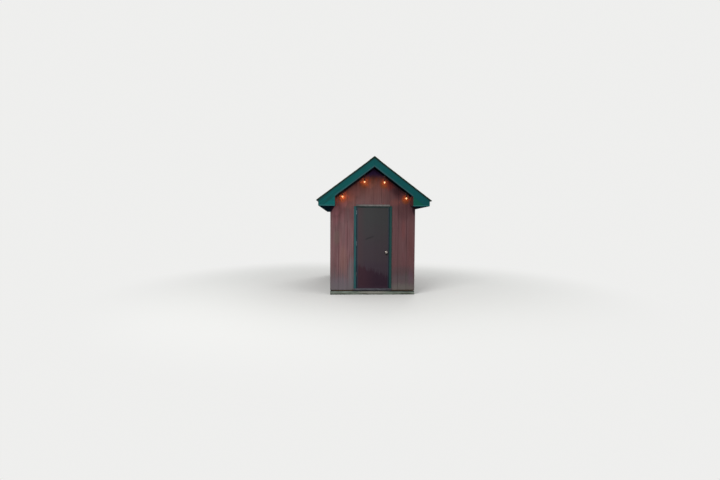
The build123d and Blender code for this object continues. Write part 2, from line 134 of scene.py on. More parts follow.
class Finish:
    """A material that grows one node at a time."""

    def __init__(self, name, **constants):
        self.material = bpy.data.materials.new(name)
        self.material.use_nodes = True
        self.tree = self.material.node_tree
        self.shader = self.tree.nodes["Principled BSDF"]
        for socket, value in constants.items():
            self.shader.inputs[socket.replace("_", " ")].default_value = value
        self.place = self.node("TexCoord", output="Object")

    def node(self, kind, settings=None, values=None, output=0):
        """Adds a node, sets it, then gives its sockets numbers, colours or wires."""
        made = self.tree.nodes.new("ShaderNode" + kind)
        for name, value in (settings or {}).items():
            if name == "stops":
                stops = made.color_ramp.elements
                while len(stops) < len(value):
                    stops.new(1.0)
                for stop, (position, colour) in zip(stops, value):
                    stop.position, stop.color = position, colour
            else:
                setattr(made, name, value)
        for key, value in (values or {}).items():
            if isinstance(value, Wire):
                self.tree.links.new(value.socket, made.inputs[key])
            else:
                made.inputs[key].default_value = value
        return Wire(self, made.outputs[output])

    def axis(self, name):
        return self.node("SeparateXYZ", values={0: self.place}, output=name)

    def size_of(self, value):
        """A value without its sign."""
        return self.node("Math", {"operation": "ABSOLUTE"}, {0: value})

    def patch(self, first, second, middle, half):
        """1 in the middle of a soft oval over two values, 0 outside it."""
        squares = [self.size_of((value - centre) * (1 / reach)) for value, centre, reach
                   in zip((first, second), middle, half)]
        return self.fade(squares[0] * squares[0] + squares[1] * squares[1], 1.0, 0.1)

    def cells(self, size, turn=UP, place=None):
        """Coordinates in which one cell of a pattern is size metres, long axis turned along a board."""
        return self.node("Mapping", {"vector_type": "TEXTURE"},
                         {"Vector": place or self.place, "Rotation": turn, "Scale": size})

    def noise(self, size, turn=UP, detail=2.0, warp=0.0, place=None):
        """Soft random values round a half, with cells of the size given."""
        return self.node("TexNoise", {}, {"Vector": self.cells(size, turn, place), "Scale": 1.0,
                                          "Detail": detail, "Distortion": warp})

    def fade(self, value, start, end):
        """0 at start and before it, 1 at end and past it, smooth between them."""
        if start > end:
            return 1 - self.fade(value, end, start)
        return self.node("MapRange", {"interpolation_type": "SMOOTHSTEP"},
                         {"Value": value, "From Min": start, "From Max": end})

    def mix(self, share, first, second):
        """Colour: first where share is 0, second where it is 1."""
        return self.node("Mix", {"data_type": "RGBA"}, {0: share, 6: first, 7: second}, output=2)

    def shade(self, colour, factor):
        """Colour times a grey factor."""
        return self.node("Mix", {"data_type": "RGBA", "blend_type": "MULTIPLY"},
                         {0: 1.0, 6: colour, 7: factor}, output=2)

    def wear(self, colour=None, roughness=None, height=None, **others):
        """Links what changes over the surface. Height is in metres, for the Bump node."""
        if height is not None:
            others["Normal"] = self.node("Bump", {}, {"Strength": 1.0, "Distance": 1.0, "Height": height})
        if colour is not None:
            others["Base Color"] = colour
        if roughness is not None:
            others["Roughness"] = roughness
        for socket, wire in others.items():
            self.tree.links.new(wire.socket, self.shader.inputs[socket.replace("_", " ")])
        return self.material


def dress(material, *names):
    """Gives CAD nodes their finish through their own material slots."""
    for name in names:
        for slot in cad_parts[name].material_slots:
            slot.material = material
    print(material.name, "->", ", ".join(names))


# %% [markdown]
# ## Stained siding
#
# The siding is plywood with a rough-sawn face and grooves that make it look like boards. Its red-brown
# stain has faded unevenly: each strip a little differently, and most near the ground where rain
# splashes. Shade is painted into the colour as well: up under the roof and in the peak, in the grooves
# and along the foot, and on the front wall as painted shadows, lighter patches of painted light and a
# painted orange glow round each lamp. All of it follows from where a point is, so the pattern reads
# Object coordinates. How deep a point lies in the wall tells the stained face from the bare back, which
# is seen from the room.

# %% Sizes that the finishes share
HALF_WIDTH = 1.067
HALF_LENGTH = 1.829
GROOVE_PITCH = 0.2134
GROOVE_WIDTH = 0.010
SIDING_FOOT = 0.115
DECK_APEX = 3.38025
NAIL_SPACING = 0.30
FIRST_NAIL = SIDING_FOOT + 0.030
FRONT_STUDS = (0.501, 0.943)
STUD_BAY = 0.598
REAR_STUD_BAY = 0.4715


def bare_plywood(finish, turn=UP):
    """The colour of plywood that was never painted, darkened by age."""
    grain = finish.noise((0.012, 0.012, 0.45), turn, detail=4.0, warp=0.6)
    fibre = finish.noise((0.0015, 0.0015, 0.04), turn)
    tone = finish.fade(grain, 0.3, 0.7) * 0.75 + fibre * 0.25
    return finish.mix(tone, paint(122, 88, 56), paint(178, 140, 98))


def siding_stain(name, across, outside, nail_step, light=(113, 85, 87), dark=(95, 68, 70)):
    """Stain for one wall, with painted shade in it. The grooves step along the across axis. Outside is the outer face's
    place.
    """
    finish = Finish(name, Specular_IOR_Level=0.08)
    along, height = finish.axis(across), finish.axis("Z")
    inner = (finish.fade(finish.size_of(finish.axis("X")), HALF_WIDTH - 0.010, HALF_WIDTH - 0.012)
             * finish.fade(finish.size_of(finish.axis("Y")), HALF_LENGTH - 0.010, HALF_LENGTH - 0.012))

    strip = finish.node("Math", {"operation": "FLOOR"}, {0: along * (1 / GROOVE_PITCH)})
    strip_tone = finish.node("TexWhiteNoise", {"noise_dimensions": "1D"}, {"W": strip + outside * 7})
    to_groove = finish.node("Math", {"operation": "PINGPONG"}, {0: along, 1: GROOVE_PITCH / 2})
    groove = finish.fade(to_groove, GROOVE_WIDTH * 0.70, GROOVE_WIDTH * 0.30)

    patches = finish.noise((0.28, 0.28, 0.75), detail=3.0)
    streaks = finish.noise((0.030, 0.030, 0.85), detail=3.0)
    threads = finish.noise((0.009, 0.009, 0.35), detail=3.0)
    fibres = finish.noise((0.0022, 0.0022, 0.07), detail=3.0)
    splits = finish.fade(finish.noise((0.004, 0.004, 0.16), detail=4.0), 0.68, 0.76)

    faded = finish.fade(patches * 0.35 + streaks * 0.65 + strip_tone * 0.06, 0.36, 0.68)
    colour = finish.mix(faded, paint(*dark), paint(*light))
    blush = finish.noise((0.060, 0.060, 0.70), detail=3.0)
    colour = finish.mix(finish.fade(blush, 0.45, 0.70) * 0.22, colour, paint(122, 70, 76))
    colour = finish.mix(finish.fade(blush, 0.50, 0.34) * 0.12, colour, paint(98, 86, 84))
    washed = finish.fade(height + (streaks - 0.5) * 0.6 + (patches - 0.5) * 0.3, 0.80, 0.15)
    colour = finish.mix(washed * 0.80, colour, paint(93, 87, 90))
    splash = finish.fade(height + (threads - 0.5) * 0.16, SIDING_FOOT + 0.26, SIDING_FOOT + 0.06)
    colour = finish.mix(splash * 0.60, colour, paint(100, 94, 93))
    if name == "siding_front":
        colour = front_marks_and_painted_light(finish, colour, along, height, threads)
        colour = gable_shade(finish, colour, height, streaks, threads, paint(76, 58, 114), 0.26)
    elif name == "siding_rear":
        colour = gable_shade(finish, colour, height, streaks, threads, paint(40, 24, 38), 0.62)
    tone = 0.74 + fibres * 0.16 + threads * 0.18 + streaks * 0.18 + strip_tone * 0.04 - splits * 0.20
    colour = finish.shade(colour, tone)
    colour = finish.mix(rust_runs(finish, along, height, threads, nail_step) * 0.45, colour, paint(66, 36, 30))
    # The bottom edge darker: damp, and painted shade above the shadowed slot beneath.
    damp = finish.fade(height + (threads - 0.5) * 0.014, SIDING_FOOT + 0.015, SIDING_FOOT + 0.005)
    colour = finish.mix(damp * 0.85, colour, paint(26, 24, 24))
    # Dirt and painted shade darken the grooves.
    colour = finish.shade(colour, 1 - groove * 0.08)
    colour = finish.mix(inner, colour, bare_plywood(finish))
    # The cut end underneath: weathered end grain, painted near black as shade.
    cut_end = finish.fade(height, SIDING_FOOT + 0.0012, SIDING_FOOT + 0.0004)
    colour = finish.mix(cut_end, colour, paint(24, 21, 20))
    height_map = fibres * 0.0006 + threads * 0.0006 - splits * 0.0010
    return finish.wear(colour, roughness=0.82 + fibres * 0.14, height=height_map)


def rust_runs(finish, along, height, threads, nail_step):
    """Thin runs of rust below the nails, which stand in columns and 0.3 m apart."""
    if nail_step:
        column = finish.node("Math", {"operation": "PINGPONG"}, {0: along, 1: nail_step / 2})
    else:
        column = finish.node("Math", {"operation": "MINIMUM"},
                             {0: finish.size_of(finish.size_of(along) - FRONT_STUDS[0]),
                              1: finish.size_of(finish.size_of(along) - FRONT_STUDS[1])})
    since_nail = finish.node("Math", {"operation": "FLOORED_MODULO"},
                             {0: FIRST_NAIL + 30 * NAIL_SPACING - height, 1: NAIL_SPACING})
    run = finish.fade(column, 0.0055, 0.0015) * finish.fade(since_nail + threads * 0.08, 0.13, 0.03)
    return run * finish.fade(height, 2.42, 2.38)


def gable_shade(finish, colour, height, streaks, threads, peak_shade_colour, share):
    """Painted shade under the sloping soffits, deepest in the peak."""
    across = finish.axis("X")
    below = (DECK_APEX - 0.2025) - finish.size_of(across) * math.tan(ROOF_SLOPE) - height
    # Painted shade under the roof, reaching further down on the right.
    under_roof_shade = finish.fade(below - across * 0.22 + (streaks - 0.5) * 0.16, 0.34, 0.0)
    colour = finish.mix(under_roof_shade * share, colour, paint(64, 28, 44))
    # Painted shade in the peak, in a colour of its own for each wall.
    peak = finish.fade(height + (threads - 0.5) * 0.10 + (streaks - 0.5) * 0.08, 2.93, 3.06)
    colour = finish.mix(peak * 0.93, colour, peak_shade_colour)
    # A near-black line of painted shade just under the soffits, stronger on the left.
    corner = finish.fade(below + (threads - 0.5) * 0.03, 0.080, 0.030)
    corner = corner * (0.93 - finish.fade(finish.axis("X"), -0.1, 0.1) * 0.55)
    return finish.mix(corner, colour, paint(8, 9, 24))


def front_marks_and_painted_light(finish, colour, along, height, threads):
    """The front wall's weathering, a warmer gable and a few stains, with painted light and shade: a darker right half,
    shadows under the right rake and the returns, lighter patches where the overhang shades the left, and an orange glow
    round each lamp.
    """
    warm = finish.fade(height, 2.15, 2.60) * finish.fade(finish.size_of(along + 0.2), 1.0, 0.4)
    colour = finish.mix(warm * 0.50, colour, paint(116, 72, 62))
    over_door = finish.patch(along, height, (0.10, 2.34), (0.62, 0.32))
    colour = finish.mix(over_door * 0.35, colour, paint(88, 66, 64))
    # Painted shade along the right rake.
    right_rake = finish.patch(along, height + along * 0.75, (0.60, 3.12), (0.28, 0.30))
    colour = finish.mix(right_rake * 0.62, colour, paint(26, 14, 20))
    # The right half darker and redder: painted shade.
    right_half_shade = finish.fade(along, -0.1, 0.60)
    colour = finish.mix(right_half_shade * 0.62, colour, paint(80, 51, 53))
    ragged = threads - 0.5
    # Patches: middle, half size, share, tint. The lighter ones high on the left, under the left rake and return, and
    # the one below the peak are painted light that lifts the overhang's shade. Those at (0.62, 2.62), (0.78, 2.12) and
    # (1.06, 2.15) are painted shade under the right rake, below the fourth lamp and under the right return, and the
    # orange one at (0.41, 2.76) is painted lamp glow. The rest are stains and greyer, splashed patches at the foot.
    for middle, half, share, tint in (
            ((-0.74, 0.90), (0.13, 0.45), 0.32, (124, 90, 80)),
            ((-0.90, 1.45), (0.13, 0.22), 0.35, (100, 88, 80)),
            ((-0.60, 2.33), (0.24, 0.22), 0.40, (130, 86, 80)),
            ((-0.57, 2.49), (0.17, 0.20), 0.62, (150, 96, 88)),
            ((-0.50, 2.60), (0.14, 0.16), 0.38, (152, 98, 96)),
            ((-0.70, 2.58), (0.07, 0.10), 0.30, (70, 30, 34)),
            ((-0.41, 2.63), (0.13, 0.18), 0.40, (150, 100, 98)),
            ((0.62, 2.62), (0.13, 0.14), 0.35, (20, 10, 12)),
            ((0.56, 2.33), (0.17, 0.11), 0.14, (156, 84, 66)),
            ((-0.76, 2.30), (0.16, 0.15), 0.55, (156, 102, 104)),
            ((-0.98, 2.36), (0.13, 0.15), 0.40, (172, 92, 84)),
            ((-0.06, 2.84), (0.20, 0.18), 0.38, (160, 104, 86)),
            ((0.41, 2.76), (0.13, 0.15), 0.36, (140, 46, 28)),
            ((0.78, 1.64), (0.07, 0.34), 0.35, (104, 58, 56)),
            ((0.97, 1.35), (0.10, 0.80), 0.30, (98, 60, 58)),
            ((0.78, 2.12), (0.26, 0.30), 0.34, (66, 38, 42)),
            ((-0.95, 2.02), (0.12, 0.34), 0.40, (132, 82, 88)),
            ((-0.80, 2.06), (0.13, 0.30), 0.50, (122, 80, 84)),
            ((-0.93, 2.13), (0.15, 0.15), 0.60, (156, 104, 110)),
            ((1.06, 2.15), (0.09, 0.17), 0.85, (22, 17, 16)),
            ((-0.80, 0.24), (0.36, 0.26), 0.40, (102, 93, 102)),
            ((-0.52, 0.56), (0.13, 0.50), 0.34, (94, 106, 110)),
            ((-0.64, 1.42), (0.15, 0.32), 0.12, (50, 30, 36)),
            ((0.75, 0.55), (0.45, 0.22), 0.35, (66, 62, 65)),
            ((0.97, 0.44), (0.08, 0.22), 0.30, (84, 58, 78)),
            ((0.855, 0.40), (0.05, 0.26), 0.30, (60, 66, 60)),
            ((0.75, 0.32), (0.60, 0.24), 0.40, (84, 80, 83)),
            ((0.75, 0.08), (0.60, 0.26), 0.60, (100, 97, 91))):
        spot = finish.patch(along + ragged * 0.08, height + ragged * 0.24, middle, half)
        colour = finish.mix(spot * share, colour, paint(*tint))
    # An orange glow painted round each of the four lamps.
    for middle, share, tint in (
            ((-0.764, 2.42), 0.50, (112, 70, 30)), ((-0.221, 2.79), 0.50, (112, 72, 34)),
            ((0.275, 2.78), 0.62, (114, 68, 22)), ((0.822, 2.40), 0.72, (114, 68, 20))):
        painted_lamp_glow = finish.patch(along, height, middle, (0.13, 0.14))
        colour = finish.mix(painted_lamp_glow * share, colour, paint(*tint))
    # A painted shadow under the left return, with a slanted edge.
    return_shadow_edge = finish.fade(along + 0.957 + (2.235 - height) * 0.57, 0.014, -0.010)
    return_shadow = return_shadow_edge * finish.fade(height, 2.05, 2.10) * finish.fade(height, 2.29, 2.24)
    return finish.mix(return_shadow * 0.90, colour, paint(7, 8, 28))


dress(siding_stain("siding_front", "X", -HALF_LENGTH, nail_step=None),
      "front_siding_left", "front_siding_right", "front_siding_gable")
dress(siding_stain("siding_rear", "X", HALF_LENGTH, REAR_STUD_BAY), "rear_siding")
dress(siding_stain("siding_left", "Y", -HALF_WIDTH, STUD_BAY), "left_siding")
dress(siding_stain("siding_right", "Y", HALF_WIDTH, STUD_BAY), "right_siding")

# %% [markdown]
# ## Green paint
#
# The roof's boards and the door's casings are painted a dull blue-green. Brush marks run along each
# board, dirt gathers in soft patches, and near the ground and at a few nicks the grey wood shows. Light
# and shade are painted in too: darker towards the cabin's right side, a highlight and a shadow along the
# rakes' lower edges, a lighter foot to the rakes and returns, dark side jambs and a lighter head jamb.
# The same recipe is turned along each kind of board.

# %% Green paint
def green_paint(name, turn, light=(10, 84, 83), dark=(8, 70, 68), shaded=None, rake=False, seam=False):
    """Paint on one kind of board. Shaded is a colour painted towards the cabin's right side as shade."""
    finish = Finish(name, Specular_IOR_Level=0.06)
    slope_drop = DECK_APEX - finish.size_of(finish.axis("X")) * math.tan(ROOF_SLOPE) - finish.axis("Z")
    brush = finish.noise((0.0016, 0.0016, 0.18), turn, detail=2.0)
    lap = finish.noise((0.02, 0.02, 0.6), turn, detail=3.0)
    dirt = finish.noise((0.09, 0.09, 0.25), turn, detail=5.0)
    nick = finish.fade(finish.noise((0.011, 0.011, 0.03), turn, detail=4.0), 0.755, 0.79)
    colour = finish.mix(finish.fade(lap, 0.3, 0.7), paint(*dark), paint(*light))
    if shaded:
        colour = finish.mix(finish.fade(finish.axis("X"), -0.6, 0.6), colour, paint(*shaded))
    colour = finish.mix(finish.fade(dirt, 0.48, 0.82) * 0.45, colour, paint(22, 56, 50))
    if seam:
        under_rake = finish.fade(slope_drop, 0.2335, 0.2315)
        colour = finish.mix(under_rake * 0.5, colour, paint(4, 30, 30))
    if rake:
        colour = finish.mix(finish.fade(slope_drop, 0.085, 0.010) * 0.55, colour, paint(8, 48, 56))
        mitre = finish.fade(finish.size_of(finish.axis("X")), 0.0022, 0.0008)
        colour = finish.mix(mitre * 0.85, colour, paint(4, 22, 24))
        clear_of_return = finish.fade(finish.size_of(finish.axis("X")), 0.97, 0.90)
        # A painted highlight along the rake's lower edge.
        lower_edge_highlight = finish.fade(slope_drop, 0.180, 0.205) * clear_of_return
        colour = finish.mix(lower_edge_highlight * 0.50, colour, paint(56, 80, 86))
        # A painted shadow on the lowest strip of the rake board.
        lower_edge_shadow = finish.fade(slope_drop + (dirt - 0.5) * 0.010, 0.217, 0.223) * clear_of_return
        colour = finish.mix(lower_edge_shadow * 0.85, colour, paint(2, 14, 20))
    if rake or seam:
        lit_foot = finish.fade(finish.axis("Z"), 2.246, 2.238)
        colour = finish.mix(lit_foot * 0.6, colour, paint(48, 100, 102))
    colour = finish.shade(colour, 0.86 + brush * 0.28)
    colour = finish.mix(nick, colour, paint(112, 108, 100))
    roughness = 0.50 + dirt * 0.30 + nick * 0.15
    return finish.wear(colour, roughness, height=brush * 0.00025 - nick * 0.0006 + lap * 0.0004)


def mirrored_place(finish):
    """Object coordinates folded about the ridge, so that both slopes share one turned pattern."""
    fold = finish.size_of(finish.axis("X"))
    return finish.node("CombineXYZ", values={0: fold, 1: finish.axis("Y") + finish.axis("X") * 3.0,
                                             2: finish.axis("Z")})


RAKE_GREENS = {"light": (10, 78, 78), "dark": (8, 65, 65), "shaded": (9, 68, 70), "rake": True}
dress(green_paint("green_rake_right", DOWN_RIGHT, **RAKE_GREENS), "right_rake_boards")
dress(green_paint("green_rake_left", DOWN_LEFT, **RAKE_GREENS), "left_rake_boards")
dress(green_paint("green_eave", LENGTHWISE), "eave_fascias")
dress(green_paint("green_return", CROSSWISE, (10, 88, 88), (8, 75, 74), shaded=(10, 74, 62), seam=True), "eave_returns")
dress(green_paint("green_casing", UP, (46, 86, 89), (40, 74, 77), shaded=(31, 62, 60)),
      "door_casings")
# The side jambs are painted dark slate-blue as shade.
dress(green_paint("jamb_painted_shade", UP, (40, 60, 72), (34, 50, 62), shaded=(28, 40, 50)),
      "door_side_jambs")
# The head jamb is painted lighter than the side jambs: painted light that lifts the drip cap's shade.
dress(green_paint("green_head_jamb", CROSSWISE, (68, 86, 86), (58, 74, 74)), "door_head_jamb")

# %% [markdown]
# ## Soffits
#
# The boards under the overhangs sit in permanent shade, and that shade is painted into their colour: a
# dark navy under the eaves and nearly black under the slopes. Dust and cobwebs leave paler veils on it.

# %% Soffit finish
def soffit_dust_and_painted_shade(name, board_axis, board_width, painted_shade_tones=((26, 56, 76), (36, 66, 86)), cheek=False):
    """Boards painted dark as shade, as wide as given along one axis. A cheek is the face of a box beside the wall."""
    finish = Finish(name, Specular_IOR_Level=0.0)
    place = {"X": (0.35, 0.02, 0.02), "Y": (0.02, 0.35, 0.02)}["X" if board_axis == "Y" else "Y"]
    grain = finish.noise(place, detail=4.0)
    dust = finish.noise((0.15, 0.15, 0.15), detail=5.0)
    colour = finish.mix(finish.fade(dust, 0.5, 0.85), *[paint(*shade) for shade in painted_shade_tones])
    if cheek:
        side = finish.fade(finish.size_of(finish.axis("X")), 0.947, 0.945)
        colour = finish.mix(side, colour, paint(74, 46, 48))
    joint = finish.fade(finish.node("Math", {"operation": "PINGPONG"},
                                    {0: finish.axis(board_axis), 1: board_width / 2}), 0.0030, 0.0012)
    colour = finish.mix(joint * 0.8, colour, paint(2, 3, 5))
    return finish.wear(finish.shade(colour, 0.75 + grain * 0.5), 0.75 + dust * 0.2, grain * 0.0008 - joint * 0.002)


dress(soffit_dust_and_painted_shade("soffit_eave", "X", 0.0905), "eave_soffits")
dress(soffit_dust_and_painted_shade("soffit_rake", "Y", 0.1325, painted_shade_tones=((4, 14, 24), (16, 28, 36))), "rake_soffits")
dress(soffit_dust_and_painted_shade("soffit_return", "Y", 0.1325, cheek=True), "return_boxes")

# %% [markdown]
# ## Timber for the frame
#
# Studs, plates and rafters are sawn softwood. A board shows its year rings as long streaks, a knot
# here and there, and the fine ridges that the saw left across it. The streaks are stretched noise,
# and a knot is a small cell that few of the scattered points get.

# %% Framing timber
def framing_timber(name, turn, sloped=False):
    finish = Finish(name, Specular_IOR_Level=0.25)
    place = mirrored_place(finish) if sloped else None
    rings = finish.noise((0.007, 0.007, 0.40), turn, detail=3.0, warp=0.4, place=place)
    fibre = finish.noise((0.001, 0.001, 0.03), turn, place=place)
    board = finish.noise((0.25, 0.25, 1.5), turn, detail=1.0, place=place)
    spots = finish.node("TexVoronoi", {"feature": "F1"},
                        {"Vector": finish.cells((0.10, 0.10, 0.38), turn, place), "Scale": 1.0})
    knot = finish.fade(spots, 0.13, 0.06)
    halo = finish.fade(spots, 0.26, 0.08)
    colour = finish.mix(finish.fade(rings, 0.35, 0.62), paint(196, 156, 106), paint(164, 116, 68))
    colour = finish.shade(colour, 0.70 + board * 0.45 + fibre * 0.12)
    colour = finish.mix(halo * 0.45, colour, paint(140, 92, 52))
    colour = finish.mix(knot, colour, paint(74, 44, 26))
    saw = finish.noise((0.05, 0.05, 0.0022), turn, detail=1.0, place=place)
    return finish.wear(colour, 0.62 + fibre * 0.2, rings * 0.0003 + saw * 0.00025)


dress(framing_timber("timber_upright", UP), "side_studs", "end_studs", "door_jack_studs")
dress(framing_timber("timber_lengthwise", LENGTHWISE), "side_plates", "ridge_board")
dress(framing_timber("timber_crosswise", CROSSWISE), "end_plates", "door_header", "floor_joists")
dress(framing_timber("timber_sloping", DOWN_RIGHT, sloped=True), "rafters")

# %% [markdown]
# ## Floor and roof boards
#
# The floor is plywood, trodden grey between the door and the back wall. The roof's boards are seen
# only from inside, between the rafters: pressed from wood flakes, each flake its own shade. Voronoi
# cells give the flakes, and a little noise in their coordinates turns their straight edges rough.

# %% Floor and roof boards
def trodden_floor():
    finish = Finish("trodden_floor", Specular_IOR_Level=0.3)
    x, y = finish.axis("X"), finish.axis("Y")
    scuffs = finish.noise((0.5, 0.9, 0.5), detail=6.0, warp=0.5)
    grit = finish.noise((0.004, 0.004, 0.004), detail=3.0)
    path = finish.fade(finish.size_of(x), 0.75, 0.15)
    worn = finish.fade(path * 0.6 + scuffs * 0.8, 0.45, 1.0)
    joint = finish.node("Math", {"operation": "PINGPONG"}, {0: y + 0.6, 1: 1.2})
    seam = finish.fade(joint, 0.004, 0.0015)
    colour = finish.mix(worn * 0.8, bare_plywood(finish, LENGTHWISE), paint(112, 103, 94))
    colour = finish.mix(finish.fade(grit, 0.66, 0.75) * 0.6, colour, paint(70, 60, 50))
    colour = finish.mix(seam, colour, paint(40, 32, 26))
    # The deck's edge, in the slot under the siding, painted near black as shade.
    rim = finish.fade(finish.size_of(x), 1.030, 1.045) + finish.fade(finish.size_of(y), 1.795, 1.808)
    colour = finish.mix(finish.fade(rim, 0.1, 0.9), colour, paint(16, 14, 14))
    return finish.wear(colour, 0.55 + worn * 0.3, grit * 0.0003 - seam * 0.002)


def flake_board():
    finish = Finish("flake_board", Specular_IOR_Level=0.3)
    wander = finish.noise((0.02, 0.02, 0.02), detail=3.0)
    place = finish.node("VectorMath", {"operation": "SCALE"}, {0: finish.place, "Scale": 1.0})
    rough = finish.node("CombineXYZ", values={0: wander * 0.01, 1: wander * 0.012, 2: wander * 0.01})
    place = finish.node("VectorMath", {"operation": "ADD"}, {0: place, 1: rough})
    flakes = finish.node("TexVoronoi", {"feature": "F1"},
                         {"Vector": finish.cells((0.016, 0.055, 0.016), place=place), "Scale": 1.0},
                         output="Color")
    shade_of = finish.node("SeparateColor", values={0: flakes}, output=0)
    colour = finish.mix(shade_of, paint(150, 110, 66), paint(202, 164, 110))
    fibre = finish.noise((0.002, 0.03, 0.002))
    return finish.wear(finish.shade(colour, 0.8 + fibre * 0.3), 0.6 + fibre * 0.2, shade_of * 0.0006)


dress(trodden_floor(), "floor_deck")
dress(flake_board(), "roof_deck")

# %% [markdown]
# ## Weathered ground timbers and sill
#
# Bare timber near the ground turns silver grey, opens in long cracks and grows green at its foot. Its
# foot is also painted dark as shade where it meets the ground, and beside the door a shadow is painted
# along its top, under the siding. The door's sill is worn bare in the middle, where feet cross it.

# %% Weathered timber
def weathered_timber(name, turn, light, dark, damp_height=0.05, under_door=False):
    finish = Finish(name, Specular_IOR_Level=0.06)
    grain = finish.noise((0.005, 0.005, 0.22), turn, detail=5.0, warp=0.3)
    patches = finish.noise((0.07, 0.07, 0.30), turn, detail=4.0)
    cracks = finish.fade(finish.noise((0.011, 0.011, 0.35), turn, detail=5.0), 0.63, 0.68)
    damp = finish.fade(finish.axis("Z") + (patches - 0.5) * 0.05, damp_height, 0.0)
    colour = finish.mix(finish.fade(patches * 0.5 + grain * 0.5, 0.38, 0.62), dark, light)
    if under_door:
        trodden = finish.patch(finish.axis("X") + (patches - 0.5) * 0.2, finish.axis("Z"), (0.0, 0.062), (0.46, 0.060))
        colour = finish.mix(trodden * 0.75, colour, paint(142, 138, 131))
        from_door = finish.fade(finish.size_of(finish.axis("X")), 0.44, 0.50)
        deeper = (finish.axis("X") + finish.size_of(finish.axis("X"))) * 0.006
        slot_shadow = finish.fade(finish.axis("Z") + deeper, 0.081, 0.086)
        colour = finish.mix(slot_shadow * from_door * 0.85, colour, paint(22, 20, 20))
    colour = finish.mix(damp * 0.6, colour, paint(58, 62, 42))
    # The foot painted dark as shade where the timber meets the ground.
    foot = finish.fade(finish.axis("Z") + (patches - 0.5) * 0.09, 0.026, 0.004)
    colour = finish.mix(foot * 0.70, colour, paint(24, 22, 20))
    colour = finish.mix(cracks * 0.85, colour, paint(26, 23, 20))
    return finish.wear(finish.shade(colour, 0.8 + grain * 0.35), 0.85 + grain * 0.1,
                       grain * 0.0012 - cracks * 0.003)


GREY_LIGHT, GREY_DARK = paint(126, 134, 124), paint(86, 93, 84)
ground_timber_crosswise = weathered_timber("ground_timber_crosswise", CROSSWISE, GREY_LIGHT, GREY_DARK,
                                           under_door=True)
ground_timber_lengthwise = weathered_timber("ground_timber_lengthwise", LENGTHWISE, GREY_LIGHT, GREY_DARK)
dress(weathered_timber("sill_timber", CROSSWISE, paint(88, 87, 93), paint(58, 56, 61)), "door_threshold")

# %% [markdown]
# ## Metal edges
#
# Thin painted metal is folded over the edge of the roof, and a bare strip sheds rain above the door.
# Paint on metal stays smoother than paint on wood. Bare metal goes dull and takes faint run marks.

# %% Metal edges
def edge_metal():
    finish = Finish("edge_metal", Metallic=0.0, Specular_IOR_Level=0.12)
    dust = finish.noise((0.12, 0.12, 0.12), detail=5.0)
    scratch = finish.fade(finish.noise((0.002, 0.06, 0.06), detail=2.0), 0.70, 0.76)
    colour = finish.mix(finish.fade(dust, 0.4, 0.8), paint(6, 32, 22), paint(16, 40, 30))
    colour = finish.mix(scratch * 0.5, colour, paint(80, 88, 84))
    return finish.wear(colour, 0.40 + dust * 0.30, dust * 0.0004)


def cap_metal():
    finish = Finish("cap_metal", Specular_IOR_Level=0.25)
    runs = finish.noise((0.008, 0.008, 0.08), detail=4.0)
    dull = finish.noise((0.05, 0.05, 0.05), detail=4.0)
    colour = finish.mix(finish.fade(dull, 0.35, 0.7), paint(92, 90, 88), paint(110, 106, 104))
    # The left end painted darker as shade.
    left_end_shade = finish.fade(finish.axis("X") + (runs - 0.5) * 0.06, -0.31, -0.38)
    colour = finish.mix(left_end_shade * 0.6, colour, paint(66, 58, 58))
    colour = finish.shade(colour, 0.85 + runs * 0.25)
    return finish.wear(colour, 0.45 + dull * 0.3, dull * 0.0003, Metallic=0.20 + runs * 0.15)


dress(edge_metal(), "rake_drip_edges", "eave_drip_edges")
dress(cap_metal(), "door_drip_cap")

# %% [markdown]
# ## The door
#
# The door is flush and dark, with old gloss paint that went from near black to maroon where rain
# splashes off the sill. The dark worn area ends upwards in ragged vertical fingers. A scuff runs
# slantwise over the upper half. Shadows are painted along both edges, where the casings shade the
# door, and round and below the knob, where grime adds to the painted shadow. Gloss is a coat over the
# colour, thinner where the paint is worn.

# %% Door paint
DOOR_MIDDLE = -1.807


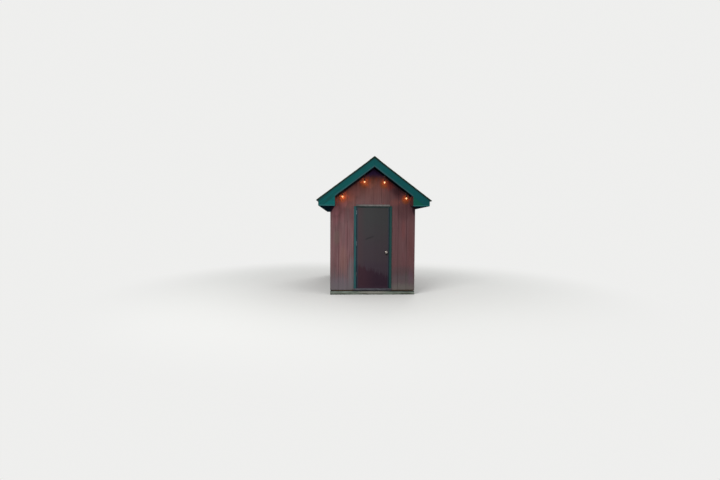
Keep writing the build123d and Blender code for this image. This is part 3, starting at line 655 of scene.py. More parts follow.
def door_paint():
    finish = Finish("door_paint", Specular_IOR_Level=0.10, Coat_Roughness=0.28)
    x, height = finish.axis("X"), finish.axis("Z")
    front = finish.fade(finish.axis("Y"), DOOR_MIDDLE, DOOR_MIDDLE - 0.010)
    fingers = finish.noise((0.038, 0.038, 0.26), detail=3.0)
    ragged = finish.noise((0.009, 0.009, 0.07), detail=3.0)
    clouds = finish.noise((0.25, 0.25, 0.45), detail=4.0)
    rollers = finish.noise((0.060, 0.060, 6.0), detail=2.0)
    turned_red = finish.fade(height + (clouds - 0.5) * 0.4, 2.05, 0.95)
    colour = finish.mix(turned_red, paint(50, 50, 51), paint(54, 45, 51))
    colour = finish.mix(finish.fade(height, 0.95, 0.72), colour, paint(52, 41, 50))
    colour = finish.mix(finish.fade(x, -0.16, -0.36) * 0.65, colour, paint(62, 48, 52))
    colour = finish.shade(colour, 1.0 - finish.fade(x, -0.25, 0.40) * 0.14 + (rollers - 0.5) * 0.12)

    level = height + x * 0.36 + (fingers - 0.5) * 0.36 + (ragged - 0.5) * 0.04
    worn = finish.fade(level, 0.69, 0.54) * (0.25 + front * 0.75)
    colour = finish.mix(worn * 0.90, colour, finish.mix(finish.fade(x, -0.30, 0.15), paint(52, 31, 40),
                                                        paint(38, 22, 34)))
    rim = finish.fade(height + (ragged - 0.5) * 0.05, 0.24, 0.17)
    colour = finish.mix(rim * 0.5, colour, paint(58, 42, 54))
    # A painted shadow along both edges, where the casings shade the door.
    edges = finish.fade(finish.size_of(x - 0.006), 0.366, 0.396)
    colour = finish.mix(edges * 0.70, colour, paint(34, 48, 60))

    slant = height - x * 0.364 - 1.470
    scuff = finish.fade(finish.size_of(slant + (ragged - 0.5) * 0.02), 0.030, 0.008)
    scuff = scuff * finish.fade(finish.size_of(x + 0.082), 0.14, 0.06) * front
    colour = finish.mix(scuff * 0.6, colour, paint(26, 23, 27))
    # A painted shadow round the knob.
    knob_shadow = finish.patch(x, height, (0.352, 1.075), (0.035, 0.085))
    colour = finish.mix(knob_shadow * 0.55, colour, paint(22, 20, 22))
    # Below the knob: grime and a painted shadow.
    below_knob_grime_and_shadow = finish.patch(x, height, (0.354, 1.020), (0.032, 0.036))
    colour = finish.mix(below_knob_grime_and_shadow * 0.85, colour, paint(6, 5, 3))
    dust = finish.noise((0.003, 0.003, 0.003), detail=2.0)
    colour = finish.shade(colour, 0.90 + dust * 0.2)
    roughness = 0.40 + worn * 0.22 + clouds * 0.10
    brush = finish.noise((0.002, 0.002, 0.15))
    return finish.wear(colour, roughness, brush * 0.00015 + clouds * 0.0008, Coat_Weight=0.16 - worn * 0.12)


dress(door_paint(), "door_slab")

# %% [markdown]
# ## Steel and satin metal
#
# Hinges, latch plate and strike are satin steel, brushed along their length and dulled at random.
# The knob and its roses are a warmer metal that hands keep clean.

# %% Hardware metal
def brushed_metal(name, colour_bright, colour_dull, turn, roughness=0.32, rust_height=None):
    """Metal with brush marks. Below the rust height, splashing rain has turned it brown."""
    finish = Finish(name, Metallic=1.0)
    brush = finish.noise((0.0004, 0.0004, 0.02), turn, detail=2.0)
    dull = finish.noise((0.012, 0.012, 0.012), detail=4.0)
    colour = finish.mix(finish.fade(dull, 0.4, 0.75), colour_bright, colour_dull)
    colour = finish.shade(colour, 0.88 + brush * 0.24)
    roughness = roughness + dull * 0.25
    if rust_height is None:
        return finish.wear(colour, roughness, brush * 0.00003)
    rust = finish.fade(finish.axis("Z") + (dull - 0.5) * 1.6, rust_height + 0.2, rust_height - 0.2)
    colour = finish.mix(rust, colour, paint(66, 46, 44))
    return finish.wear(colour, roughness + rust * 0.25, brush * 0.00003 + rust * dull * 0.0002,
                       Metallic=1 - rust * 0.95)


hinge_steel = brushed_metal("hinge_steel", paint(124, 138, 146), paint(88, 94, 96), UP, rust_height=0.62)
knob_metal = brushed_metal("knob_metal", paint(172, 166, 158), paint(124, 114, 102), LENGTHWISE, 0.28)
dress(hinge_steel, "hinge_frame_leaves", "hinge_door_leaves", "latch_plate", "strike_plate")

# %% [markdown]
# ## Lamps
#
# The sockets are black plastic with a faint mould texture. The globes are lit by the shader's own
# emission. The orange pool on the wall behind each comes from a small light beside the globe, and on
# the front wall an orange glow is also painted round each lamp.

# %% Lamp finishes
BULB_GLOW = 1.15


def socket_plastic():
    finish = Finish("socket_plastic", Specular_IOR_Level=0.35)
    pits = finish.noise((0.0008, 0.0008, 0.0008))
    dust = finish.noise((0.02, 0.02, 0.02), detail=4.0)
    colour = finish.mix(finish.fade(dust, 0.5, 0.85), paint(22, 22, 22), paint(56, 54, 50))
    return finish.wear(colour, 0.5 + dust * 0.3, pits * 0.0001)


def bulb_glass():
    finish = Finish("bulb_glass", Roughness=0.25, Emission_Strength=BULB_GLOW)
    haze = finish.noise((0.012, 0.012, 0.012), detail=3.0)
    glow = finish.mix(haze, (1.0, 0.42, 0.17, 1.0), (1.0, 0.50, 0.22, 1.0))
    return finish.wear(finish.mix(haze, paint(250, 214, 160), paint(255, 226, 180)), Emission_Color=glow)


lamp_plastic = socket_plastic()
lit_glass = bulb_glass()

# %% [markdown]
# ## Shingles
#
# Asphalt shingles are paper-thin boards covered in crushed stone. The colour is dark green, but no
# two grains match, and each tab left the factory a little lighter or darker. That tone is stored on
# the tabs as an attribute called tone, so one finish serves them all.

# %% Shingle finish
def shingle_granules():
    finish = Finish("shingle_granules", Specular_IOR_Level=0.2)
    tone = finish.node("Attribute", {"attribute_name": "tone"}, output="Fac")
    grains = finish.node("TexVoronoi", {"feature": "F1"}, {"Vector": finish.cells((0.0025,) * 3), "Scale": 1.0},
                         output="Color")
    grain = finish.node("SeparateColor", values={0: grains}, output=0)
    patches = finish.noise((0.35, 0.35, 0.35), detail=4.0)
    moss = finish.fade(finish.noise((0.09, 0.09, 0.09), detail=6.0), 0.66, 0.74)
    colour = finish.mix(grain, paint(16, 36, 28), paint(52, 78, 64))
    colour = finish.shade(colour, 0.72 + tone * 0.45 + patches * 0.15)
    colour = finish.mix(moss * 0.6, colour, paint(66, 78, 40))
    return finish.wear(colour, 0.85 + grain * 0.12, grain * 0.0005 + moss * 0.001)


shingle_finish = shingle_granules()
dress(shingle_finish, "shingles")

# %% [markdown]
# ## From a shape to a piece
#
# New pieces are shaped with bmesh operators, in metres and in place, so that each object can stay at
# the origin like the CAD nodes. One helper turns a finished shape into an object that rides on its
# body. Another lays many copies of a small shape, because a roof of four hundred tabs should be one
# object. A third spins a profile into a turned piece.

# %% Helpers for new pieces
def piece(name, shape, material, body, soft_angle=None):
    """An object from a bmesh, with its finish, riding on its body."""
    data = bpy.data.meshes.new(name)
    shape.to_mesh(data)
    shape.free()
    data.materials.append(material)
    if soft_angle is not None:
        data.shade_smooth()
        data.set_sharp_from_angle(angle=math.radians(soft_angle))
    made = bpy.data.objects.new(name, data)
    bpy.context.scene.collection.objects.link(made)
    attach(made, body)
    print(name, "faces:", len(data.polygons))
    return made


def copies(small, places):
    """One bmesh with a copy of a small bmesh at each place, which is a matrix."""
    pattern = bpy.data.meshes.new("pattern")
    small.to_mesh(pattern)
    small.free()
    many = bmesh.new()
    for place in places:
        start = len(many.verts)
        many.from_mesh(pattern)
        many.verts.ensure_lookup_table()
        bmesh.ops.transform(many, matrix=place, verts=many.verts[start:])
    bpy.data.meshes.remove(pattern)
    return many


def give_tone(made, tones):
    """Stores one tone for each copy, for the finish to read."""
    size = len(made.data.vertices) // len(tones)
    layer = made.data.attributes.new("tone", "FLOAT", "POINT")
    layer.data.foreach_set("value", [tone for tone in tones for _ in range(size)])


def turned(profile, segments=40):
    """A bmesh spun about Z from points (radius, height), which start and end on the axis or meet."""
    shape = bmesh.new()
    line = [shape.verts.new((radius, 0.0, height)) for radius, height in profile]
    edges = [shape.edges.new(pair) for pair in zip(line, line[1:])]
    bmesh.ops.spin(shape, geom=line + edges, axis=(0, 0, 1), cent=(0, 0, 0), dvec=(0, 0, 0),
                   angle=math.tau, steps=segments, use_merge=True)
    bmesh.ops.remove_doubles(shape, verts=shape.verts, dist=1e-6)
    bmesh.ops.recalc_face_normals(shape, faces=shape.faces)
    return shape


def moved(shape, matrix):
    bmesh.ops.transform(shape, matrix=matrix, verts=shape.verts)
    return shape


# %% [markdown]
# ## Shingle tabs
#
# On a real roof each strip of shingles is cut into tabs about 305 mm wide, and each course hides the
# top of the one below. The CAD slope already steps down at every course, so only the tabs are missing:
# thin slabs with a gap between them, shifted by half a tab from course to course. A tab is one bevelled
# block. Each copy is lifted, shifted and toned a little at random, from a fixed seed.

# %% Shingle tabs
TAB_WIDTH = 0.305
TAB_GAP = 0.006
TAB_THICKNESS = 0.003
TAB_COVER = 0.006            # how far a tab runs in under the next course
EXPOSURE = 0.145
COURSE_RISE = 0.003
BUTT_HEIGHT = 0.0105         # CAD shingles over the deck, at a course's lower edge
EAVE_REACH = 1.386 / math.cos(ROOF_SLOPE)
RAKE_REACH = 2.249

right_slope = Matrix.Translation((0, 0, DECK_APEX)) @ Matrix.Rotation(ROOF_SLOPE, 4, "Y")
left_slope = Matrix.Rotation(math.pi, 4, "Z") @ right_slope


def shingle_tab():
    """A tab that lies towards -X from its lower edge, on Z = 0."""
    tab = bmesh.new()
    bmesh.ops.create_cube(tab, size=1.0)
    length = EXPOSURE + TAB_COVER
    moved(tab, Matrix.Diagonal((length, TAB_WIDTH - TAB_GAP, TAB_THICKNESS, 1)))
    moved(tab, Matrix.Translation((-length / 2, 0, TAB_THICKNESS / 2)))
    corners = [e for e in tab.edges if all(v.co.x > -1e-6 for v in e.verts)
               and abs(e.verts[0].co.z - e.verts[1].co.z) > 1e-6]
    bmesh.ops.bevel(tab, geom=corners, offset=0.006, segments=2, profile=0.5, affect="EDGES", material=-1)
    rim = [e for e in tab.edges if all(v.co.z > TAB_THICKNESS - 1e-6 for v in e.verts)
           and all(v.co.x > -0.02 for v in e.verts)]
    bmesh.ops.bevel(tab, geom=rim, offset=0.0008, segments=1, profile=0.5, affect="EDGES", material=-1)
    return tab


def tab_places():
    """Where every tab goes, and its tone."""
    dice = random.Random(7)
    sink = math.atan2(COURSE_RISE, EXPOSURE)
    for slope in (right_slope, left_slope):
        for course in range(math.ceil(EAVE_REACH / EXPOSURE)):
            butt = EAVE_REACH - course * EXPOSURE
            edge = -RAKE_REACH - (TAB_WIDTH / 2 if course % 2 else 0.0)
            while edge < RAKE_REACH - 0.02:
                low, high = max(edge, -RAKE_REACH), min(edge + TAB_WIDTH, RAKE_REACH)
                edge += TAB_WIDTH
                if high - low < 0.02:
                    continue
                lift = dice.uniform(0.0, 0.009)
                stretch = min(1.0, butt / (EXPOSURE + TAB_COVER))
                place = (slope
                         @ Matrix.Translation((butt + dice.uniform(-0.002, 0.002), (low + high) / 2, BUTT_HEIGHT))
                         @ Matrix.Rotation(sink - lift, 4, "Y")
                         @ Matrix.Diagonal((stretch, (high - low) / TAB_WIDTH, 1, 1)))
                yield place, dice.uniform(0.0, 1.0)


tabs = list(tab_places())
shingle_tabs = piece("shingle_tabs", copies(shingle_tab(), [place for place, tone in tabs]),
                     shingle_finish, "cabin")
give_tone(shingle_tabs, [tone for place, tone in tabs])

# %% [markdown]
# ## Ridge caps
#
# Single tabs bent over the ridge close the roof. Each covers the back of the one before it, so their
# front edges step along the ridge. The profile of one cap is drawn as a line, drawn out along the
# ridge and given its thickness.

# %% Ridge caps
CAP_REACH = 0.150
CAP_LENGTH = 0.200
CAP_HEIGHT = BUTT_HEIGHT + TAB_THICKNESS + 0.0008
CAP_THICKNESS = 0.003


def ridge_tab():
    """A bent cap that runs towards +Y from its front edge, with the ridge of its plane at the origin."""
    cap = bmesh.new()
    run, fall = math.cos(ROOF_SLOPE), math.sin(ROOF_SLOPE)
    half = [(CAP_REACH, 0.0), (0.05, 0.0), (0.022, -0.0002), (0.012, -0.0010), (0.005, -0.0022)]
    right = [(u * run, -u * fall + drop) for u, drop in half]
    profile = right + [(0.0, -0.0045)] + [(-x, z) for x, z in reversed(right)]
    line = [cap.verts.new((x, 0.0, z)) for x, z in profile]
    edges = [cap.edges.new(pair) for pair in zip(line, line[1:])]
    drawn = bmesh.ops.extrude_edge_only(cap, edges=edges)
    far = [v for v in drawn["geom"] if isinstance(v, bmesh.types.BMVert)]
    bmesh.ops.translate(cap, verts=far, vec=(0, CAP_LENGTH, 0))
    bmesh.ops.recalc_face_normals(cap, faces=cap.faces)
    if sum(face.normal.z for face in cap.faces) < 0:
        bmesh.ops.reverse_faces(cap, faces=cap.faces)
    bmesh.ops.solidify(cap, geom=cap.faces[:], thickness=CAP_THICKNESS)
    return cap


def cap_places():
    dice = random.Random(11)
    tilt = math.atan2(CAP_THICKNESS, EXPOSURE)
    apex = DECK_APEX + (CAP_HEIGHT + CAP_THICKNESS) / math.cos(ROOF_SLOPE) + CAP_THICKNESS
    front = -RAKE_REACH
    while front < RAKE_REACH - 0.03:
        length = min(CAP_LENGTH, RAKE_REACH - front)
        yield (Matrix.Translation((dice.uniform(-0.002, 0.002), front, apex))
               @ Matrix.Rotation(-tilt, 4, "X") @ Matrix.Rotation(dice.uniform(-0.006, 0.006), 4, "Z")
               @ Matrix.Diagonal((1, length / CAP_LENGTH, 1, 1))), dice.uniform(0.0, 1.0)
        front += EXPOSURE


caps = list(cap_places())
ridge_tabs = piece("ridge_tabs", copies(ridge_tab(), [place for place, tone in caps]),
                   shingle_finish, "cabin", soft_angle=35)
give_tone(ridge_tabs, [tone for place, tone in caps])
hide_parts("ridge_cap")

# %% [markdown]
# ## Ground timbers, eroded
#
# A timber that lies in the wet for years loses its edges first. Each one starts as a block that is cut
# into many small faces. Then each vertex is pulled in by a smooth noise: more at the long edges, most
# along the foot, and in a few narrow lines that stand for the cracks along the grain.

# %% Ground timbers
from mathutils import noise

TIMBER = 0.089


def eroded_timber(length, seed):
    """A timber along X, on Z = 0, with its outer face towards -Y."""
    timber = bmesh.new()
    bmesh.ops.create_cube(timber, size=1.0)
    moved(timber, Matrix.Diagonal((length, TIMBER, TIMBER, 1)))
    moved(timber, Matrix.Translation((0, 0, TIMBER / 2)))
    long_edges = [e for e in timber.edges if abs(e.verts[0].co.x - e.verts[1].co.x) > 0.5 * length]
    bmesh.ops.subdivide_edges(timber, edges=long_edges, cuts=int(length / 0.03), use_grid_fill=True)
    short_edges = [e for e in timber.edges if abs(e.verts[0].co.x - e.verts[1].co.x) < 1e-6]
    bmesh.ops.subdivide_edges(timber, edges=short_edges, cuts=9, use_grid_fill=True)
    centre = Vector((0, 0, TIMBER / 2))
    for vert in timber.verts:
        place = vert.co - centre
        near_edge = min(abs(place.y), abs(place.z)) / (TIMBER / 2)
        along = Vector((vert.co.x * 6 + seed * 17, vert.co.y * 30, vert.co.z * 30))
        rough = noise.noise(along) * 0.5 + 0.5
        fine = noise.noise(along * 4.0) * 0.5 + 0.5
        pull = 0.0008 + 0.0015 * fine + 0.0075 * rough * near_edge ** 4
        if vert.co.z < 0.012:
            pull += 0.010 * max(0.0, noise.noise(Vector((vert.co.x * 9 + seed, 0.3, seed))) + 0.1)
        crack = noise.noise(Vector((vert.co.x * 1.6 + seed * 5, 2.0, seed)))
        if crack > 0.05 and abs(place.z - 0.012 * noise.noise(Vector((vert.co.x * 3, 1.0, seed)))) < 0.005:
            pull += 0.006
        if vert.co.z > 0.002:
            place.z -= pull * math.copysign(1, place.z) * (abs(place.z) > 0.6 * TIMBER / 2)
        place.y -= pull * math.copysign(1, place.y) * (abs(place.y) > 0.6 * TIMBER / 2)
        vert.co = centre + place
    return timber


def ground_timbers(name, length, turns, offset, material, node):
    """The pair of like timbers that replaces one CAD node."""
    both = bmesh.new()
    for index, turn in enumerate(turns):
        one = eroded_timber(length, seed=index + len(name))
        moved(one, Matrix.Rotation(turn, 4, "Z") @ Matrix.Translation((0, offset + TIMBER / 2, 0)))
        data = bpy.data.meshes.new("timber")
        one.to_mesh(data)
        one.free()
        both.from_mesh(data)
        bpy.data.meshes.remove(data)
    made = piece(name, both, material, "cabin", soft_angle=40)
    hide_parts(node)


ground_timbers("timbers_across", 2 * HALF_WIDTH, (0.0, math.pi), -HALF_LENGTH,
               ground_timber_crosswise, "end_timbers")
ground_timbers("timbers_along", 2 * (HALF_LENGTH - TIMBER), (math.pi / 2, -math.pi / 2), -HALF_WIDTH,
               ground_timber_lengthwise, "side_timbers")

# %% [markdown]
# ## Nails
#
# The siding is nailed to every stud, and the green boards to what is behind them. Round heads stand
# a millimetre proud and have rusted. One small cone with its point cut off is copied to each place.

# %% Nails
GABLE_STUDS = (0.305, 0.610)
OUTWARD = {"front": Matrix.Rotation(math.radians(90), 4, "X"), "rear": Matrix.Rotation(math.radians(-90), 4, "X"),
           "right": Matrix.Rotation(math.radians(90), 4, "Y"), "left": Matrix.Rotation(math.radians(-90), 4, "Y")}


def nail_head():
    head = bmesh.new()
    bmesh.ops.create_cone(head, cap_ends=True, segments=10, radius1=0.0040, radius2=0.0028, depth=0.0020)
    return moved(head, Matrix.Translation((0, 0, 0.0005)))


def roof_underside(x):
    """Height of the rake soffit over a place on the front or rear wall."""
    return DECK_APEX - 0.2025 - abs(x) * math.tan(ROOF_SLOPE)


def siding_nails():
    """Nail places over all four walls, a little off their lines as a hand would drive them."""
    dice = random.Random(3)

    def column(wall, across, low, high):
        height = low
        while height < high:
            x, y = {"front": (across, -HALF_LENGTH), "rear": (across, HALF_LENGTH),
                    "left": (-HALF_WIDTH, across), "right": (HALF_WIDTH, across)}[wall]
            slip = dice.uniform(-0.0015, 0.0015)
            sideways = (slip, 0) if wall in ("front", "rear") else (0, slip)
            yield (Matrix.Translation((x + sideways[0], y + sideways[1], height + dice.uniform(-0.006, 0.006)))
                   @ OUTWARD[wall])
            height += NAIL_SPACING

    sides_top = 2.36
    for side in (-1, 1):
        for stud in FRONT_STUDS:
            yield from column("front", side * stud, FIRST_NAIL, roof_underside(stud) - 0.03)
        for stud in GABLE_STUDS:
            for wall in ("front", "rear"):
                yield from column(wall, side * stud, 2.46, roof_underside(stud) - 0.03)
        for stud in (0.0, REAR_STUD_BAY, 2 * REAR_STUD_BAY):
            if side > 0 or stud > 0:
                yield from column("rear", side * stud, FIRST_NAIL, roof_underside(stud) - 0.03)
        for bay in range(7):
            yield from column("right" if side > 0 else "left", -3 * STUD_BAY + bay * STUD_BAY,
                              FIRST_NAIL, sides_top)


def trim_nails():
    """Pairs of nails along the rake boards, the eave fascias and the door's casings."""
    rake_face, board = 2.235, 0.184
    for end, outward in ((-1, OUTWARD["front"]), (1, OUTWARD["rear"])):
        for side in (-1, 1):
            for step in range(4):
                along = 0.12 + step * 0.44
                for depth in (0.045, board - 0.04):
                    x = along * math.cos(ROOF_SLOPE) - depth * math.sin(ROOF_SLOPE) + 0.09
                    z = DECK_APEX - along * math.sin(ROOF_SLOPE) - depth * math.cos(ROOF_SLOPE) - 0.09 * 0.75
                    yield Matrix.Translation((side * x, end * rake_face, z)) @ outward
    for side, outward in ((-1, OUTWARD["left"]), (1, OUTWARD["right"])):
        for step in range(9):
            for height in (2.30, 2.26 - 0.03):
                yield Matrix.Translation((side * 1.340, -2.1 + step * 0.525, height)) @ outward
        for step in range(6):
            yield Matrix.Translation((side * 0.4485, -1.848, 0.26 + step * 0.37)) @ OUTWARD["front"]


def rusty_steel():
    finish = Finish("rusty_steel", Metallic=0.0, Specular_IOR_Level=0.3)
    rust = finish.noise((0.004, 0.004, 0.004), detail=3.0)
    return finish.wear(finish.mix(rust, paint(92, 58, 44), paint(70, 52, 48)), 0.7 + rust * 0.2)


nail_finish = rusty_steel()
piece("siding_nails", copies(nail_head(), list(siding_nails())), nail_finish, "cabin")
piece("trim_nails", copies(nail_head(), list(trim_nails())), nail_finish, "cabin")

# %% [markdown]
# ## Knob, roses and keyhole
#
# The knob is turned: a short neck flares into a rounded grip with a flat nose, and both knobs share
# one spindle through the door. Spinning half its outline once about the axis gives the whole piece.
# The roses are spun the same way, as rings round the neck.

# %% Knob and roses
KNOB_PLACE = Vector((0.3465, -1.807, 1.0755))
DOOR_HALF = 0.022
to_knob = Matrix.Translation(KNOB_PLACE) @ Matrix.Rotation(math.radians(90), 4, "X")

grip = [(0.0090, 0.031), (0.0090, 0.0375), (0.0110, 0.0410), (0.0165, 0.0445), (0.0225, 0.0495),
        (0.0262, 0.0560), (0.0270, 0.0625), (0.0262, 0.0690), (0.0238, 0.0750), (0.0200, 0.0795),
        (0.0188, 0.0805), (0.0180, 0.0802), (0.0160, 0.0830), (0.0090, 0.0838), (0.0, 0.0840)]
spindle = [(radius, -height) for radius, height in reversed(grip)] + grip
knobs = piece("turned_knobs", moved(turned(spindle), to_knob), knob_metal, "knob", soft_angle=50)
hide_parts("door_knobs")

ring = [(0.0096, 0.0), (0.0330, 0.0), (0.0330, 0.0020), (0.0315, 0.0040), (0.0270, 0.0058), (0.0200, 0.0066),
        (0.0185, 0.0090), (0.0096, 0.0090), (0.0096, 0.0)]
roses = bmesh.new()
for facing in (0.0, math.pi):
    rose = moved(turned(ring), to_knob @ Matrix.Rotation(facing, 4, "X") @ Matrix.Translation((0, 0, DOOR_HALF)))
    half = bpy.data.meshes.new("rose")
    rose.to_mesh(half)
    rose.free()
    roses.from_mesh(half)
    bpy.data.meshes.remove(half)
rose_piece = piece("turned_roses", roses, knob_metal, "door", soft_angle=40)
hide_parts("knob_roses")

keyway = bmesh.new()
bmesh.ops.create_cone(keyway, cap_ends=True, segments=24, radius1=0.0062, radius2=0.0058, depth=0.0012)
moved(keyway, Matrix.Translation((0, 0, 0.0844)))
slot_shape = bmesh.new()
bmesh.ops.create_cube(slot_shape, size=1.0)
moved(slot_shape, Matrix.Translation((0, 0, 0.0850)) @ Matrix.Diagonal((0.0012, 0.0080, 0.0006, 1)))
piece("key_cylinder", moved(keyway, to_knob), hinge_steel, "knob", soft_angle=30)
piece("key_slot", moved(slot_shape, to_knob), nail_finish, "knob")

# %% [markdown]
# ## Hinge screws
#
# Four countersunk screws hold each hinge leaf. They show when the door stands open. Those on the frame
# leaf ride with the cabin, those on the other leaf with the door.

# %% Hinge screws
HINGE_HEIGHTS = (2.0775, 1.2965, 0.5155)
SCREW_SPOTS = ((0.010, 0.038), (0.022, 0.014), (0.010, -0.014), (0.022, -0.038))


def screw_head():
    head = bmesh.new()
    bmesh.ops.create_cone(head, cap_ends=True, segments=16, radius1=0.0042, radius2=0.0036, depth=0.0012)
    top = max(head.faces, key=lambda face: face.calc_center_median().z)
    bmesh.ops.inset_individual(head, faces=[top], thickness=0.0016, depth=-0.0005)
    return head


def screw_places(face_x, outward):
    for middle in HINGE_HEIGHTS:
        for inward, up in SCREW_SPOTS:
            yield Matrix.Translation((face_x, -HALF_LENGTH + inward, middle + up)) @ outward


frame_screws = list(screw_places(-0.412, OUTWARD["right"]))
door_screws = list(screw_places(-0.4065, OUTWARD["left"]))
piece("frame_leaf_screws", copies(screw_head(), frame_screws), hinge_steel, "cabin", soft_angle=30)
piece("door_leaf_screws", copies(screw_head(), door_screws), hinge_steel, "door", soft_angle=30)

# %% [markdown]
# ## Lamps
#
# Each lamp is a ribbed socket on a flat hanger, which a square pad holds to the sloping soffit, and a
# globe a little longer than round. Socket and globe are turned shapes. A small warm light, set just
# behind each globe, throws the tight orange pool on the siding, which the glass alone, at a strength
# the eye can take, would not.

# %% Lamps
LAMP_WALL_GAP = 0.110
# Across, drop below the soffit, watts of the light behind the globe.
LAMPS = ((-0.764, 0.142, 0.76), (-0.221, 0.185, 0.50), (0.275, 0.153, 0.46), (0.822, 0.132, 0.54))
BULB_RADIUS = 0.020
BULB_SEAT = 0.016
BULB_STRETCH = 1.35
SOCKET_LENGTH = 0.060
PAD_SIDE = 0.050
PAD_THICKNESS = 0.012
POOL_SHIFT = Vector((0, 0.038, 0))

lamp_spots = [Vector((x, -HALF_LENGTH - LAMP_WALL_GAP, roof_underside(x) - drop)) for x, drop, watts in LAMPS]


def ribbed_socket():
    """A socket on Z = 0, its mouth down, with three ribs round it and a shoulder above."""
    outline = [(0.0, 0.0), (0.0125, 0.0), (0.0140, 0.0015)]
    for rib in range(3):
        foot = 0.006 + rib * 0.009
        outline += [(0.0140, foot), (0.0131, foot + 0.0015), (0.0131, foot + 0.0045), (0.0140, foot + 0.0060)]
    outline += [(0.0140, 0.042), (0.0115, 0.052), (0.0075, 0.058), (0.0065, SOCKET_LENGTH), (0.0, SOCKET_LENGTH)]
    return turned(outline, segments=28)


def globe():
    """A bulb a little longer than round, its neck in the socket and a small seal at its tip."""
    tip = -BULB_RADIUS * BULB_STRETCH
    outline = [(0.0, tip - 0.0015), (0.0025, tip - 0.0004)]
    for step in range(1, 15):
        angle = math.radians(-84 + step * 10)
        stretch = BULB_STRETCH if angle < 0 else 1.0
        outline.append((BULB_RADIUS * math.cos(angle), BULB_RADIUS * math.sin(angle) * stretch))
    outline += [(0.0118, BULB_SEAT), (0.0, BULB_SEAT)]
    return turned(outline, segments=28)


def lamp_hanger(spot):
    """The pad on the soffit and the flat strap down to the socket."""
    ceiling = roof_underside(spot.x)
    lean = math.copysign(ROOF_SLOPE, spot.x)
    hanger = bmesh.new()
    bmesh.ops.create_cube(hanger, size=1.0)
    moved(hanger, Matrix.Diagonal((PAD_SIDE, PAD_SIDE, PAD_THICKNESS, 1)))
    bmesh.ops.bevel(hanger, geom=hanger.edges[:], offset=0.002, segments=2, profile=0.5, affect="EDGES", material=-1)
    moved(hanger, Matrix.Translation((spot.x, spot.y, ceiling)) @ Matrix.Rotation(lean, 4, "Y")
          @ Matrix.Translation((0, 0, -PAD_THICKNESS / 2)))
    top, foot = ceiling - PAD_THICKNESS / 2, spot.z + BULB_SEAT + SOCKET_LENGTH
    strap = bmesh.ops.create_cube(hanger, size=1.0)["verts"]
    bmesh.ops.transform(hanger, verts=strap, matrix=Matrix.Translation((spot.x, spot.y, (top + foot) / 2))
                        @ Matrix.Diagonal((0.010, 0.003, top - foot, 1)))
    return hanger


sockets = copies(ribbed_socket(), [Matrix.Translation(spot + Vector((0, 0, BULB_SEAT))) for spot in lamp_spots])
for spot in lamp_spots:
    strap_data = bpy.data.meshes.new("strap")
    strap_shape = lamp_hanger(spot)
    strap_shape.to_mesh(strap_data)
    strap_shape.free()
    sockets.from_mesh(strap_data)
    bpy.data.meshes.remove(strap_data)
holders = piece("lamp_sockets", sockets, lamp_plastic, "cabin", soft_angle=35)
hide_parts("lamp_holders")

globes = copies(globe(), [Matrix.Translation(spot) for spot in lamp_spots])
lit_globes = piece("lamp_globes", globes, lit_glass, "cabin", soft_angle=60)
lit_globes.visible_shadow = False
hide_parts("lamp_bulbs")

for number, (spot, (x, drop, watts)) in enumerate(zip(lamp_spots, LAMPS)):
    warm = bpy.data.lights.new(f"globe_light_{number}", "POINT")
    warm.color, warm.energy, warm.shadow_soft_size = (1.0, 0.33, 0.08), watts, BULB_RADIUS
    warm_light = bpy.data.objects.new(f"globe_light_{number}", warm)
    warm_light.location = spot + POOL_SHIFT
    bpy.context.scene.collection.objects.link(warm_light)

# %% [markdown]
# ## Stage and light
#
# The floor and the sky are plain and pale, so that nothing competes with the cabin. What the camera
# sees of them is set apart from the light they give, through the Light Path node: the camera, mirrors
# and glass see a pale backdrop, while the light on the object stays soft and moderate. The floor
# melts into the backdrop a few metres behind the cabin and keeps the cabin's shadow in front.

# %% Stage
BACKDROP = (0.86, 0.86, 0.85, 1.0)
FLOOR_COLOUR = (0.62, 0.62, 0.60, 1.0)
FLOOR_BOUNCE = (0.22, 0.22, 0.20, 1.0)
FLOOR_REACH = 80.0


def seen_directly(tree):
    """A socket that is 1 for rays from the camera, from mirrors and through glass."""
    rays = tree.nodes.new("ShaderNodeLightPath")
    total = None
    for kind in ("Is Camera Ray", "Is Glossy Ray", "Is Transmission Ray"):
        if total is None:
            total = rays.outputs[kind]
        else:
            join = tree.nodes.new("ShaderNodeMath")
            join.operation = "MAXIMUM"
            tree.links.new(total, join.inputs[0])
            tree.links.new(rays.outputs[kind], join.inputs[1])
            total = join.outputs[0]
    return total


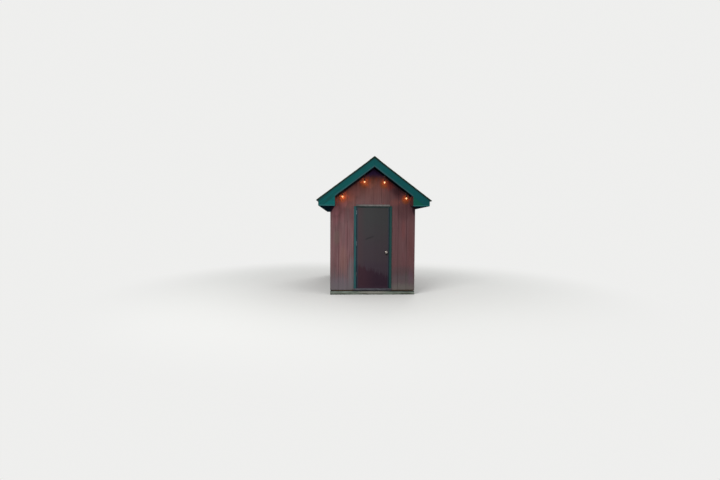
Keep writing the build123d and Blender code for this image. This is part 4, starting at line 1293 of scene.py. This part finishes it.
def stage_floor():
    floor_mesh = bmesh.new()
    bmesh.ops.create_circle(floor_mesh, cap_ends=True, segments=96, radius=FLOOR_REACH)
    data = bpy.data.meshes.new("stage_floor")
    floor_mesh.to_mesh(data)
    floor_mesh.free()
    floor = bpy.data.objects.new("stage_floor", data)
    bpy.context.scene.collection.objects.link(floor)
    finish = Finish("stage_floor")
    tree = finish.tree
    plain = tree.nodes.new("ShaderNodeBsdfDiffuse")
    seen = Wire(finish, seen_directly(tree))
    tree.links.new(finish.mix(seen, FLOOR_BOUNCE, FLOOR_COLOUR).socket, plain.inputs["Color"])
    far = tree.nodes.new("ShaderNodeEmission")
    far.inputs["Color"].default_value = BACKDROP
    distance = finish.node("VectorMath", {"operation": "LENGTH"}, {0: finish.place}, output="Value")
    melt = finish.fade(distance, 3.2, 7.5) * seen
    joined = tree.nodes.new("ShaderNodeMixShader")
    tree.links.new(melt.socket, joined.inputs[0])
    tree.links.new(plain.outputs[0], joined.inputs[1])
    tree.links.new(far.outputs[0], joined.inputs[2])
    tree.links.new(joined.outputs[0], tree.nodes["Material Output"].inputs["Surface"])
    data.materials.append(finish.material)


stage_floor()

# %% Sky and lamps
SKY_LIGHT = 0.75


def soft_sky():
    world = bpy.data.worlds.new("soft_sky")
    bpy.context.scene.world = world
    world.use_nodes = True
    tree = world.node_tree
    light = tree.nodes["Background"]
    light.inputs["Color"].default_value = (0.97, 0.98, 1.0, 1.0)
    light.inputs["Strength"].default_value = SKY_LIGHT
    seen = tree.nodes.new("ShaderNodeBackground")
    seen.inputs["Color"].default_value = BACKDROP
    joined = tree.nodes.new("ShaderNodeMixShader")
    tree.links.new(seen_directly(tree), joined.inputs[0])
    tree.links.new(light.outputs[0], joined.inputs[1])
    tree.links.new(seen.outputs[0], joined.inputs[2])
    tree.links.new(joined.outputs[0], tree.nodes["World Output"].inputs["Surface"])


def area_lamp(name, place, aim, size, power):
    """A square soft lamp that looks from its place at a point."""
    data = bpy.data.lights.new(name, "AREA")
    data.size, data.energy = size, power
    lamp = bpy.data.objects.new(name, data)
    lamp.location = place
    lamp.rotation_mode = "QUATERNION"
    lamp.rotation_quaternion = (Vector(aim) - Vector(place)).to_track_quat("-Z", "Y")
    bpy.context.scene.collection.objects.link(lamp)


soft_sky()
area_lamp("key_lamp", (-5.5, -9.5, 7.5), (0.0, -1.0, 1.6), 6.0, 900.0)
area_lamp("fill_lamp", (6.5, -7.5, 6.0), (0.0, -1.0, 1.6), 6.0, 220.0)
area_lamp("rear_lamp", (3.0, 9.0, 7.0), (0.0, 1.0, 1.6), 6.0, 500.0)
bpy.context.scene.view_settings.view_transform = "Standard"
